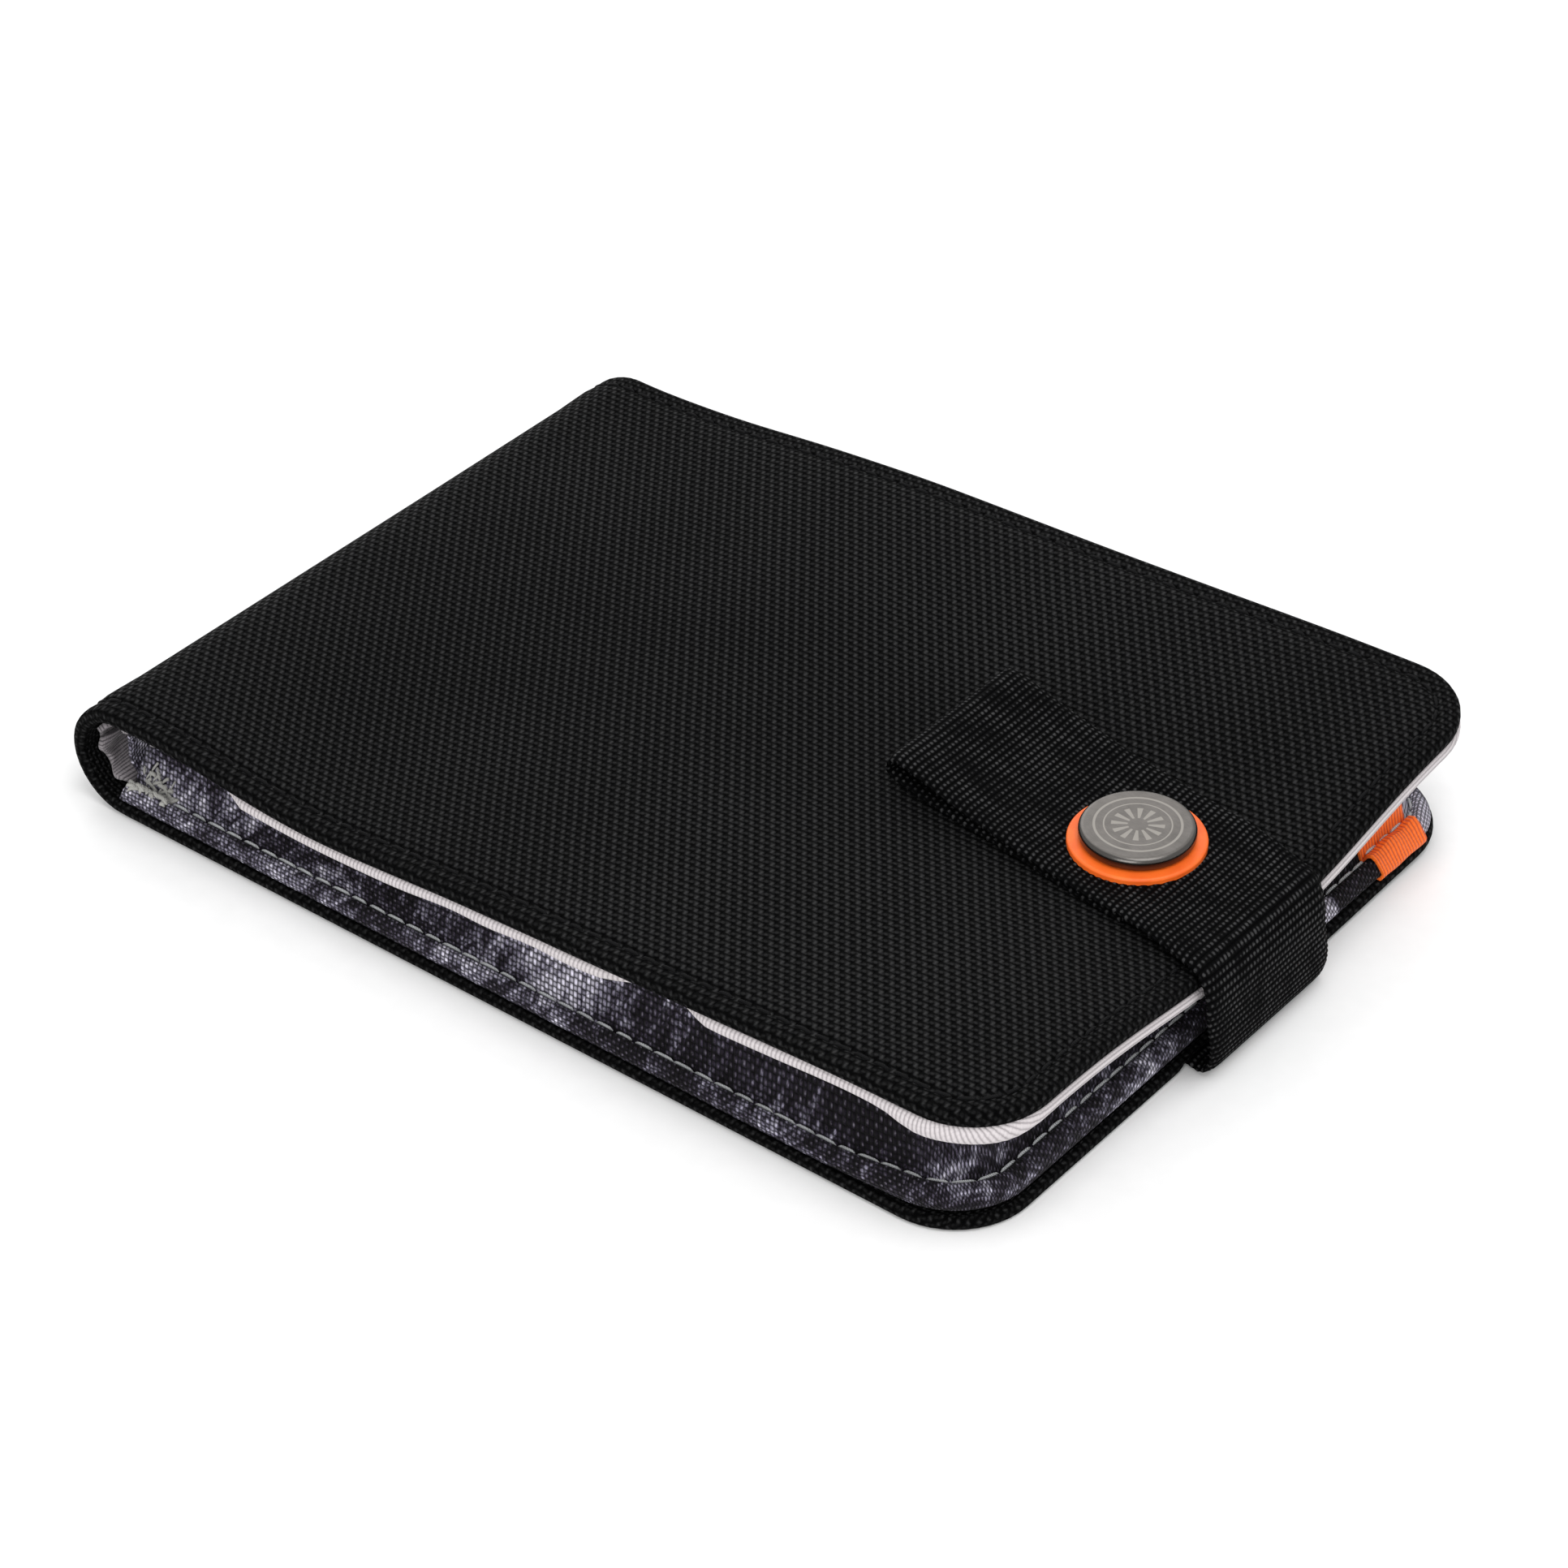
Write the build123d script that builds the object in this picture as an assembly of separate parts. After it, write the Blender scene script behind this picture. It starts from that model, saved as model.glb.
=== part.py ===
"""Bi-fold passport wallet of woven fabric, closed by a webbing strap with a press snap.

Millimetres, +Z up. The wallet lies closed on its bottom cover. +X runs from the folded
spine to the opening edge, and +Y from the long edge at the front to the one at the back.
The origin is the middle of the footprint, at the level of the surface that it lies on.

Five bodies move: the bottom cover (fixed), the spine, the top cover, the strap's riser
(the stretch round the opening edge) and the strap's tab. Each sub-part is one STEP file.
"""

from build123d import *
import math
import os

# Driving dimensions of the closed wallet
LENGTH = 146.0  # nose of the spine to the opening edge
WIDTH = 106.0  # along the spine
THICK = 16.0  # over both covers
CORNER_R = 11.0  # corners at the opening edge
STRAP_BULGE = 4.0  # how far the strap stands out past the opening edge
WEBBING_W = 25.0
WEBBING_T = 0.9

# Places along X
X_NOSE = -(LENGTH + STRAP_BULGE) / 2
X_OPEN = X_NOSE + LENGTH
NOSE_R = THICK / 2
X_BEND = X_NOSE + NOSE_R  # where the spine's round begins
X_COVER = X_BEND + 0.5  # covers start here, clear of the turning spine

# Covers, from the outside in. Heights are measured from the cover's outer face.
SHELL_T = 1.4  # bottom cover's woven face and backing
TOP_SHELL_T = 1.6
HEM_W = 4.0
HEM_T = 1.0
STIFFENER_T = 0.6
TOP_STIFFENER_T = 0.5
STIFFENER_INSET = HEM_W + 1.0
FIT_GAP = 0.05

# Passport pouch on the bottom cover. Its mouth faces the spine.
Z_LINING = SHELL_T + HEM_T  # top of the bottom lining
Z_POUCH = Z_LINING + 0.2
POUCH_BASE_T = 0.5
PASSPORT_GAP = 4.4
POUCH_TOP_T = 0.7
Z_POUCH_INSIDE = Z_POUCH + POUCH_BASE_T
Z_POUCH_ROOF = Z_POUCH_INSIDE + PASSPORT_GAP
Z_POUCH_TOP = Z_POUCH_ROOF + POUCH_TOP_T
GUSSET_W = 2.5
GUSSET_INSET = 5.0
PIPING_R = 1.4
PIPING_INSET = 2.0  # from the cover's outline to the middle of the rolled edge
PANEL_INSET = PIPING_INSET + PIPING_R + FIT_GAP

# Card pockets, stepped back from the spine one on top of the next
CARD_POCKET_T = 0.8
CARD_POCKET_INSET = 9.0  # clear of the ribbon's inner leaf
CARD_POCKET_STARTS = (-34.0, -16.0, 2.0)  # X of each pocket's mouth

# Orange ribbon folded over the rolled edge and up the pouch's side
RIBBON_W = 10.0
RIBBON_T = 0.4
RIBBON_Y = 38.0

# Bar tacks at the pouch's two corners beside the spine
TACK_LENGTH = 6.0
TACK_W = 1.6
TACK_T = 0.5

# Top cover's inner parts
TOP_PANEL_T = 0.8
TOP_PANEL_INSET = 0.8
SLIP_POCKET_T = 0.6
SLIP_POCKET_INSET = 7.0
SLIP_POCKET_START = -30.0

# Spine: outer shell, lining and the inner wall that joins the pockets of both covers
SPINE_SHELL_T = 0.9
SPINE_LINING_R = 6.0
SPINE_LINING_T = 0.4
INNER_WALL_R = 3.6
INNER_WALL_T = 0.4
INNER_WALL_Z = 8.8
SPINE_END_GAP = 0.25  # from the bend line to the ends of the spine's shells

# Strap: the riser is square to the opening edge and the tab lies a little askew
STRAP_Y = 1.0
STRAP_SKEW_DEG = 8.4  # the tab's free end leans towards +Y
STRAP_TOP = 18.2  # upper face of the tab
RISER_END_GAP = 0.5
ANCHOR_LENGTH = 22.0
ANCHOR_RECESS_PLAY = 0.2
TAB_END_X = 21.4
LOWER_LAYER_END_X = 62.0
FOLD_R = 1.5
FOLD_RISE = 0.9  # the fold stands up above the tab's upper face
FOLD_LEAD = 0.8  # straight ends of the fold, towards the two layers
FOLD_GAP = 0.2

# Press snap, from the cap down to the rivet inside the top cover
SNAP_X = 53.4
SNAP_Y = STRAP_Y + (X_OPEN - SNAP_X) * math.tan(math.radians(STRAP_SKEW_DEG))
CAP_R = 7.3
CAP_T = 1.9
CAP_EDGE_R = 0.7
RING_R = 8.7
RING_T = 0.9
RING_EDGE_R = 0.35
POST_R = 1.5
POST_HOLE_R = 1.6
DIMPLE_R = 8.0
DIMPLE_FLOOR = 14.7
SOCKET_R = 5.2
SOCKET_BOTTOM = 15.1
SOCKET_CAVITY_R = 3.1
SOCKET_ROOF_T = 0.2
SPRING_R = 2.8
SPRING_WIRE_R = 0.25
SPRING_Z = 15.6
STUD_FLANGE_R = 4.2
STUD_FLANGE_T = 0.3
STUD_NECK_R = 1.9
STUD_HEAD_R = 2.3
STUD_HEAD_T = 0.75
STUD_HEAD_EDGE_R = 0.3
STUD_TOP = 16.1
SHANK_R = 1.2
SHANK_HOLE_R = 1.3
RIVET_T = 0.4

# Hinge lines. The offset keeps each fold's outer length the same, open and closed.
SPINE_FOLD_OFFSET = (4 - math.pi) * NOSE_R / 4
STRAP_FOLD_OFFSET = (4 - math.pi) * STRAP_BULGE / 4

# Derived heights of the top cover's layers and start of the tab's two layers
Z_TOP_HEM = THICK - TOP_SHELL_T
Z_TOP_LINING = Z_TOP_HEM - TOP_STIFFENER_T
Z_TOP_PANEL = Z_TOP_HEM - HEM_T  # upper face of the light inner panel
SHANK_BOTTOM = Z_TOP_LINING
LAYERS_START_X = TAB_END_X + FOLD_R + FOLD_LEAD + FOLD_GAP


def cover_plate(inset, z_low, z_high, x_start=X_COVER):
    """A cover-shaped plate: square at the spine, rounded at the opening edge."""
    x_end = X_OPEN - inset
    plate = Pos((x_start + x_end) / 2, 0, z_low) * extrude(
        Rectangle(x_end - x_start, WIDTH - 2 * inset), z_high - z_low
    )
    corners = plate.edges().filter_by(Axis.Z).group_by(Axis.X)[-1]
    return fillet(corners, CORNER_R - inset)


def cover_frame(width, z_low, z_high):
    """The border of a cover on its three free sides, open towards the spine."""
    inner = cover_plate(width, z_low, z_high, x_start=X_COVER - 1)
    return cover_plate(0, z_low, z_high) - inner


def block(x_low, x_high, y_low, y_high, z_low, z_high):
    """A box between two corners."""
    size = (x_high - x_low, y_high - y_low, z_high - z_low)
    middle = ((x_low + x_high) / 2, (y_low + y_high) / 2, (z_low + z_high) / 2)
    return Pos(*middle) * Box(*size)


def disc(radius, z_low, z_high, x=SNAP_X, y=SNAP_Y):
    """A disc on the snap's axis."""
    return Pos(x, y, (z_low + z_high) / 2) * Cylinder(radius, z_high - z_low)


def half_tube(outer_r, thickness, x_centre, z_centre, x_limit, y_low, y_high, side):
    """Half of a tube along Y that bulges to side -1 (-X) or +1 (+X), cut off at x_limit."""
    length = y_high - y_low
    tube = Cylinder(outer_r, length) - Cylinder(outer_r - thickness, length)
    tube = Pos(x_centre, (y_low + y_high) / 2, z_centre) * Rot(90, 0, 0) * tube
    reach = outer_r + 1
    keep = block(
        min(x_limit, x_limit + side * 2 * reach),
        max(x_limit, x_limit + side * 2 * reach),
        y_low - 1,
        y_high + 1,
        z_centre - reach,
        z_centre + reach,
    )
    return tube & keep


# Bottom cover ---------------------------------------------------------------------------


def bottom_shell():
    recess = block(
        X_OPEN - ANCHOR_LENGTH - ANCHOR_RECESS_PLAY,
        X_OPEN + 1,
        STRAP_Y - WEBBING_W / 2 - ANCHOR_RECESS_PLAY,
        STRAP_Y + WEBBING_W / 2 + ANCHOR_RECESS_PLAY,
        -1,
        WEBBING_T,
    )
    return cover_plate(0, 0, SHELL_T) - recess


def bottom_hem():
    return cover_frame(HEM_W, SHELL_T, Z_LINING)


def bottom_stiffener():
    return cover_plate(STIFFENER_INSET, SHELL_T, SHELL_T + STIFFENER_T)


def bottom_lining():
    return cover_plate(HEM_W + FIT_GAP, SHELL_T + STIFFENER_T, Z_LINING)


def pouch_base():
    return cover_plate(PANEL_INSET, Z_POUCH, Z_POUCH_INSIDE)


def pouch_gussets():
    """Three side walls of the pouch: front, back and opening edge."""
    outer = WIDTH / 2 - GUSSET_INSET
    inner = outer - GUSSET_W
    end = X_OPEN - GUSSET_INSET
    z = (Z_POUCH_INSIDE, Z_POUCH_ROOF)
    front = block(X_COVER, end - GUSSET_W, -outer, -inner, *z)
    back = block(X_COVER, end - GUSSET_W, inner, outer, *z)
    side = block(end - GUSSET_W, end, -inner, inner, *z)
    return Compound(children=[front, back, side])


def pouch_top():
    return cover_plate(GUSSET_INSET, Z_POUCH_ROOF, Z_POUCH_TOP)


def pouch_piping():
    """Rolled edge round the pouch's three sewn sides."""
    z = Z_POUCH + PIPING_R
    half = WIDTH / 2 - PIPING_INSET
    x_end = X_OPEN - PIPING_INSET
    path = FilletPolyline(
        (X_COVER, -half, z), (x_end, -half, z), (x_end, half, z), (X_COVER, half, z),
        radius=CORNER_R - PIPING_INSET,
    )
    return sweep(Plane(path @ 0, z_dir=path % 0) * Circle(PIPING_R), path=path)


def card_pocket(step):
    """One of the stacked card pockets; step 0 lies on the pouch's top."""
    z = Z_POUCH_TOP + step * CARD_POCKET_T
    inset = CARD_POCKET_INSET + step * FIT_GAP
    return cover_plate(inset, z, z + CARD_POCKET_T, CARD_POCKET_STARTS[step])


def ribbon_tab():
    """Ribbon down the outside of the rolled edge, over it, and up the pouch's side."""
    z_over = Z_POUCH + 2 * PIPING_R + FIT_GAP
    x_out = X_OPEN - PIPING_INSET + PIPING_R + FIT_GAP
    x_in = X_OPEN - GUSSET_INSET + FIT_GAP
    y_low, y_high = RIBBON_Y - RIBBON_W / 2, RIBBON_Y + RIBBON_W / 2
    outside = block(x_out, x_out + RIBBON_T, y_low, y_high, Z_POUCH, z_over)
    over = block(x_in, x_out + RIBBON_T, y_low, y_high, z_over, z_over + RIBBON_T)
    up = block(x_in, x_in + RIBBON_T, y_low, y_high, z_over, Z_POUCH_TOP)
    return outside + over + up


def bartacks():
    """Dense stitches that hold the pouch's corners beside the spine."""
    x = X_COVER + 1
    y = WIDTH / 2 - GUSSET_INSET - TACK_W
    z = Z_POUCH_TOP
    tacks = [
        block(x, x + TACK_LENGTH, side * y - TACK_W / 2, side * y + TACK_W / 2, z, z + TACK_T)
        for side in (-1, 1)
    ]
    return Compound(children=tacks)


def strap_anchor():
    """The webbing's sewn end, let into the underside of the bottom cover."""
    y_low, y_high = STRAP_Y - WEBBING_W / 2, STRAP_Y + WEBBING_W / 2
    return block(X_OPEN - ANCHOR_LENGTH, X_OPEN, y_low, y_high, 0, WEBBING_T)


# Spine ----------------------------------------------------------------------------------


def spine_tube(outer_r, thickness, z_centre, inset=0):
    half = WIDTH / 2 - inset
    x_limit = X_BEND - SPINE_END_GAP
    return half_tube(outer_r, thickness, X_BEND, z_centre, x_limit, -half, half, -1)


def spine_shell():
    return spine_tube(NOSE_R, SPINE_SHELL_T, NOSE_R)


def spine_lining():
    return spine_tube(SPINE_LINING_R, SPINE_LINING_T, NOSE_R, HEM_W)


def spine_inner_wall():
    return spine_tube(INNER_WALL_R, INNER_WALL_T, INNER_WALL_Z, PANEL_INSET)


# Top cover ------------------------------------------------------------------------------


def top_shell():
    """The woven face, dished round the snap where the snap presses it in."""
    dimple = disc(DIMPLE_R, DIMPLE_FLOOR, THICK + 1)
    hole = disc(SHANK_HOLE_R, Z_TOP_HEM - 1, THICK + 1)
    return cover_plate(0, Z_TOP_HEM, THICK) - dimple - hole


def top_hem():
    return cover_frame(HEM_W, Z_TOP_PANEL, Z_TOP_HEM)


def top_stiffener():
    plate = cover_plate(STIFFENER_INSET, Z_TOP_LINING, Z_TOP_HEM)
    return plate - disc(SHANK_HOLE_R, Z_TOP_LINING - 1, THICK)


def top_lining():
    plate = cover_plate(HEM_W + FIT_GAP, Z_TOP_PANEL, Z_TOP_LINING)
    return plate - disc(STUD_FLANGE_R + FIT_GAP, Z_TOP_PANEL - 1, THICK)


def top_panel():
    return cover_plate(TOP_PANEL_INSET, Z_TOP_PANEL - TOP_PANEL_T, Z_TOP_PANEL)


def top_slip_pocket():
    z_high = Z_TOP_PANEL - TOP_PANEL_T
    return cover_plate(SLIP_POCKET_INSET, z_high - SLIP_POCKET_T, z_high, SLIP_POCKET_START)


def snap_stud():
    """Male half of the snap: flange, neck, rounded head and a shank through the cover."""
    flange = disc(STUD_FLANGE_R, DIMPLE_FLOOR, DIMPLE_FLOOR + STUD_FLANGE_T)
    neck = disc(STUD_NECK_R, DIMPLE_FLOOR, STUD_TOP - STUD_HEAD_T / 2)
    head = disc(STUD_HEAD_R, STUD_TOP - STUD_HEAD_T, STUD_TOP)
    head = fillet(head.edges().filter_by(GeomType.CIRCLE), STUD_HEAD_EDGE_R)
    return flange + neck + head + disc(SHANK_R, SHANK_BOTTOM, DIMPLE_FLOOR)


def stud_rivet():
    return disc(STUD_FLANGE_R, SHANK_BOTTOM - RIVET_T, SHANK_BOTTOM)


# Strap ----------------------------------------------------------------------------------


def strap_riser():
    """Webbing round the opening edge: an arc, a straight rise and an arc back."""
    y_low, y_high = STRAP_Y - WEBBING_W / 2, STRAP_Y + WEBBING_W / 2
    x_low = X_OPEN + RISER_END_GAP
    x_centre = X_OPEN
    arc = (STRAP_BULGE, WEBBING_T, x_centre)
    lower = half_tube(*arc, STRAP_BULGE, x_low, y_low, y_high, 1)
    lower = lower & block(x_low, X_OPEN + 2 * STRAP_BULGE, y_low, y_high, 0, STRAP_BULGE)
    z_upper = STRAP_TOP - STRAP_BULGE
    upper = half_tube(*arc, z_upper, x_low, y_low, y_high, 1)
    upper = upper & block(x_low, X_OPEN + 2 * STRAP_BULGE, y_low, y_high, z_upper, STRAP_TOP)
    x_out = X_OPEN + STRAP_BULGE
    rise = block(x_out - WEBBING_T, x_out, y_low, y_high, STRAP_BULGE, z_upper)
    return lower + rise + upper


def askew(shape):
    """Turns a piece of the tab about the middle of the strap at the opening edge."""
    turn = Pos(X_OPEN, STRAP_Y, 0) * Rot(0, 0, -STRAP_SKEW_DEG) * Pos(-X_OPEN, -STRAP_Y, 0)
    return turn * shape


def webbing_layer(x_low, x_high, z_low):
    """One layer of the tab with the hole for the snap's post."""
    y_low, y_high = STRAP_Y - WEBBING_W / 2, STRAP_Y + WEBBING_W / 2
    layer = askew(block(x_low, x_high, y_low, y_high, z_low, z_low + WEBBING_T))
    return layer - disc(POST_HOLE_R, z_low - 1, z_low + 2)


def strap_tab_upper():
    layer = webbing_layer(LAYERS_START_X, X_OPEN + 1, STRAP_TOP - WEBBING_T)
    return layer & block(0, X_OPEN, -WIDTH, WIDTH, 0, STRAP_TOP + 1)


def strap_tab_lower():
    z_low = STRAP_TOP - 2 * WEBBING_T
    return webbing_layer(LAYERS_START_X, LOWER_LAYER_END_X, z_low)


def strap_end_fold():
    """The fold at the tab's free end, a small loop that a finger can pull."""
    y_low, y_high = STRAP_Y - WEBBING_W / 2, STRAP_Y + WEBBING_W / 2
    x_centre = TAB_END_X + FOLD_R
    z_centre = STRAP_TOP + FOLD_RISE - FOLD_R
    x_limit = x_centre + FOLD_LEAD
    return askew(half_tube(FOLD_R, WEBBING_T, x_centre, z_centre, x_limit, y_low, y_high, -1))


def snap_cap():
    """Metal cap with a rolled rim, and the post that goes through ring and webbing."""
    z_low = STRAP_TOP + RING_T
    cap = disc(CAP_R, z_low, z_low + CAP_T)
    cap = fillet(cap.edges().filter_by(GeomType.CIRCLE), CAP_EDGE_R)
    return cap + disc(POST_R, STRAP_TOP - 2 * WEBBING_T, z_low + CAP_T / 2)


def snap_ring():
    ring = disc(RING_R, STRAP_TOP, STRAP_TOP + RING_T)
    ring = fillet(ring.edges().filter_by(GeomType.CIRCLE).sort_by(Axis.Z)[-1], RING_EDGE_R)
    return ring - disc(POST_HOLE_R, STRAP_TOP - 1, STRAP_TOP + 2)


def snap_socket():
    z_high = STRAP_TOP - 2 * WEBBING_T
    body = disc(SOCKET_R, SOCKET_BOTTOM, z_high)
    return body - disc(SOCKET_CAVITY_R, SOCKET_BOTTOM - 1, z_high - SOCKET_ROOF_T)


def snap_spring():
    """Wire ring in the socket that grips the stud's head."""
    return Pos(SNAP_X, SNAP_Y, SPRING_Z) * Torus(SPRING_R, SPRING_WIRE_R)


NODES = {
    "bottom_shell": bottom_shell(),
    "bottom_hem": bottom_hem(),
    "bottom_stiffener": bottom_stiffener(),
    "bottom_lining": bottom_lining(),
    "pouch_base": pouch_base(),
    "pouch_gussets": pouch_gussets(),
    "pouch_top": pouch_top(),
    "pouch_piping": pouch_piping(),
    "card_pocket_lower": card_pocket(0),
    "card_pocket_middle": card_pocket(1),
    "card_pocket_upper": card_pocket(2),
    "ribbon_tab": ribbon_tab(),
    "bartacks": bartacks(),
    "strap_anchor": strap_anchor(),
    "spine_shell": spine_shell(),
    "spine_lining": spine_lining(),
    "spine_inner_wall": spine_inner_wall(),
    "top_shell": top_shell(),
    "top_hem": top_hem(),
    "top_stiffener": top_stiffener(),
    "top_lining": top_lining(),
    "top_panel": top_panel(),
    "top_slip_pocket": top_slip_pocket(),
    "snap_stud": snap_stud(),
    "stud_rivet": stud_rivet(),
    "strap_riser": strap_riser(),
    "strap_tab_upper": strap_tab_upper(),
    "strap_tab_lower": strap_tab_lower(),
    "strap_end_fold": strap_end_fold(),
    "snap_cap": snap_cap(),
    "snap_ring": snap_ring(),
    "snap_socket": snap_socket(),
    "snap_spring": snap_spring(),
}

# Hinge lines in XZ, all parallel to Y: the two folds of the spine and of the strap
HINGES = {
    "spine_fold": (X_NOSE + SPINE_FOLD_OFFSET, SPINE_FOLD_OFFSET),
    "cover_fold": (X_NOSE + SPINE_FOLD_OFFSET, THICK - SPINE_FOLD_OFFSET),
    "strap_fold": (X_OPEN + STRAP_BULGE - STRAP_FOLD_OFFSET, STRAP_FOLD_OFFSET),
    "tab_fold": (X_OPEN + STRAP_BULGE - STRAP_FOLD_OFFSET, STRAP_TOP - STRAP_FOLD_OFFSET),
}

os.makedirs("parts", exist_ok=True)
for name, shape in NODES.items():
    export_step(shape, f"parts/{name}.step")
for name, (x, z) in HINGES.items():
    print(f"hinge {name}: x {x:.3f} z {z:.3f}")
print(f"snap axis: x {SNAP_X:.3f} y {SNAP_Y:.3f}")
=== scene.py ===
import math

import bmesh
import bpy
import numpy as np
from mathutils import Matrix, Vector


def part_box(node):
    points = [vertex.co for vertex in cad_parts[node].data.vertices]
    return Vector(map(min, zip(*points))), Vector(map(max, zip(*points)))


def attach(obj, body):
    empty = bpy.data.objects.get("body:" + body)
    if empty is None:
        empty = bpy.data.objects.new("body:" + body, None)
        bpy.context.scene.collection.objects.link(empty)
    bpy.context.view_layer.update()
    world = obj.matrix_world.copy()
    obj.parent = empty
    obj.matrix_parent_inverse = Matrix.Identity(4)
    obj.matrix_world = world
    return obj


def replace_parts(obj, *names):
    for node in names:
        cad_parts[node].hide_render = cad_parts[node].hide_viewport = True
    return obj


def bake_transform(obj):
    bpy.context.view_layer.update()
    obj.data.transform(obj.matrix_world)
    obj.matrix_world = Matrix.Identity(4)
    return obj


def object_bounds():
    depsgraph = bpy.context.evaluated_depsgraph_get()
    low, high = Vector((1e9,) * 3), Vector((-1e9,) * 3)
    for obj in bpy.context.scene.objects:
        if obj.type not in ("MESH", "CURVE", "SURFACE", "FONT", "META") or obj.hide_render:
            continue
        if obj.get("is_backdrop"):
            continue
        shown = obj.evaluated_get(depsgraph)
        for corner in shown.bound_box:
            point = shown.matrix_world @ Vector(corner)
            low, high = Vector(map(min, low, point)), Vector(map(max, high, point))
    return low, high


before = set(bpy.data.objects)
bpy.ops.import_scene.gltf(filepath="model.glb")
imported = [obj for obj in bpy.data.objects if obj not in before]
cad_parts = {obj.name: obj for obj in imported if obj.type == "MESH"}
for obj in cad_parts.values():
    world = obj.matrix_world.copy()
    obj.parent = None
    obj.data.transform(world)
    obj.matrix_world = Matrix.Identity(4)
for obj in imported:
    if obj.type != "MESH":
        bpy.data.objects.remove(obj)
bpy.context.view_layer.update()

# Looks of a bi-fold passport wallet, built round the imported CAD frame: metres, +Z up.
# "Flat" coordinates are those of the cloth laid out: x runs on round the spine's nose as
# arc length, y is the same as in the frame, and z is the height in the closed wallet.

MM = 0.001

# Sizes from the frame
X_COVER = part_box("bottom_shell")[0].x  # where the covers start, beside the spine
X_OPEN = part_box("bottom_shell")[1].x  # the opening edge
HALF_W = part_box("bottom_shell")[1].y
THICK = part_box("top_shell")[1].z
X_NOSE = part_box("spine_shell")[0].x
Z_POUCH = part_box("pouch_base")[0].z
Z_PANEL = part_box("top_panel")[0].z
RING_LOW, RING_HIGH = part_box("snap_ring")
CAP_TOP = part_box("snap_cap")[1].z
RIBBON_LOW, RIBBON_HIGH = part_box("ribbon_tab")
STRAP_TOP = RING_LOW.z
SNAP = (RING_LOW + RING_HIGH) / 2
STRAP_LOW, STRAP_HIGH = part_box("strap_riser")
STRAP_Y = (STRAP_LOW.y + STRAP_HIGH.y) / 2
WEBBING_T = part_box("strap_anchor")[1].z
WEBBING_W = STRAP_HIGH.y - STRAP_LOW.y
TAB_END_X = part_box("strap_end_fold")[0].x
NOSE_R = THICK / 2
X_BEND = X_NOSE + NOSE_R
X_MID = X_BEND - NOSE_R * math.pi / 2  # the nose's middle, laid out flat
FULL = 11.0  # an outline's inset in mm where its corners have shrunk to points
CORNER_R = FULL * MM
STRAP_SLOPE = (SNAP.y - STRAP_Y) / (X_OPEN - SNAP.x)  # the tab's lean, y per x

# Thicknesses of the visible layers
COVER_T = 2.2 * MM
TOP_OVERHANG = 2.5 * MM  # the top cover reaches past the bottom one at the opening edge

# How far the top cover stands above its flat place: (x, lift) in mm along each long edge.
# The strap holds it down across its middle, and the snap sits in a dish.
LIFT_FRONT = ((-80, 0), (-66, 0.4), (-58, 0.5), (-46, -1.0), (-33, -2.0), (-8, 0.0),
              (20, 1.4), (47, 2.9), (60, 3.2), (76, 3.2))
LIFT_BACK = ((-80, 0), (-68, -1.8), (-50, -1.0), (-33, 1.0), (-16, 2.4), (0, 3.1),
             (16, 3.8), (32, 4.6), (47, 5.4), (60, 5.8), (76, 6.0))
STRAP_DIP_LIFT = 0.2 * MM  # what is left of the lift under the tight strap
STRAP_DIP_W = 27 * MM
DISH_R = 8.2 * MM
DISH_DEPTH = 1.5 * MM


def soft(value, start, end):
    """A soft step, 0 where value is at start and 1 where it is at end."""
    t = np.clip((value - start) / (end - start), 0, 1)
    return t * t * (3 - 2 * t)


def edge_curve(points, x):
    """A soft curve through given points: straight runs, averaged over a few mm."""
    xs, ys = np.array(points, float).T * MM
    reach, samples, taper = 9 * MM, 13, 1.3
    offsets = np.linspace(-reach, reach, samples)
    weights = np.cos(np.linspace(-taper, taper, samples))
    total = sum(w * np.interp(x + o, xs, ys) for o, w in zip(offsets, weights))
    return total / weights.sum()


def strap_line(x):
    """The strap's middle in y: square to the opening edge, then leaning back over the cover."""
    return STRAP_Y + STRAP_SLOPE * np.clip(X_OPEN + 3 * MM - x, -3 * MM, 1)


def strap_y(x, z):
    """The strap's middle: leans from the bottom towards -Y, then back over the cover."""
    low = 2.4 * MM * soft(z, 14 * MM, 0)
    return strap_line(x) + low - 1.0 * MM * soft(x, 60 * MM, 74 * MM)


def lift(x, y):
    """How far the top cover stands above its flat place at x, y."""
    front, back = edge_curve(LIFT_FRONT, x), edge_curve(LIFT_BACK, x)
    share = (y + HALF_W) / (2 * HALF_W)
    free = front * (1 - share) + back * share
    across = np.exp(-(((y - strap_line(x)) / STRAP_DIP_W) ** 2) ** 1.25)
    along = soft(x, -22 * MM, 20 * MM)
    return free + (STRAP_DIP_LIFT - free) * across * along


def in_bottom(x, y, z):
    """Flat coordinates to the bottom cover's shape, z up from its outer face, which is
    pressed in where the strap's end is sewn under it."""
    across = soft(np.abs(y - strap_y(x, 0)), WEBBING_W / 2 + 1.6 * MM, WEBBING_W / 2)
    sewn = across * soft(x, X_OPEN - 22 * MM, X_OPEN - 20.4 * MM)
    z = z + 1.25 * MM * sewn * np.clip(1 - z / (1.85 * MM), 0, 1)
    angle = np.maximum(X_BEND - x, 0) / NOSE_R
    r = NOSE_R - z
    bent = x < X_BEND
    curl = 0.9 * MM * soft(x, 40 * MM, X_OPEN) * soft(y, 10 * MM, HALF_W)
    px = np.where(bent, X_BEND - r * np.sin(angle), x)
    pz = np.where(bent, NOSE_R - r * np.cos(angle), z + curl)
    return np.stack([px, y, pz], -1)


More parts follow.
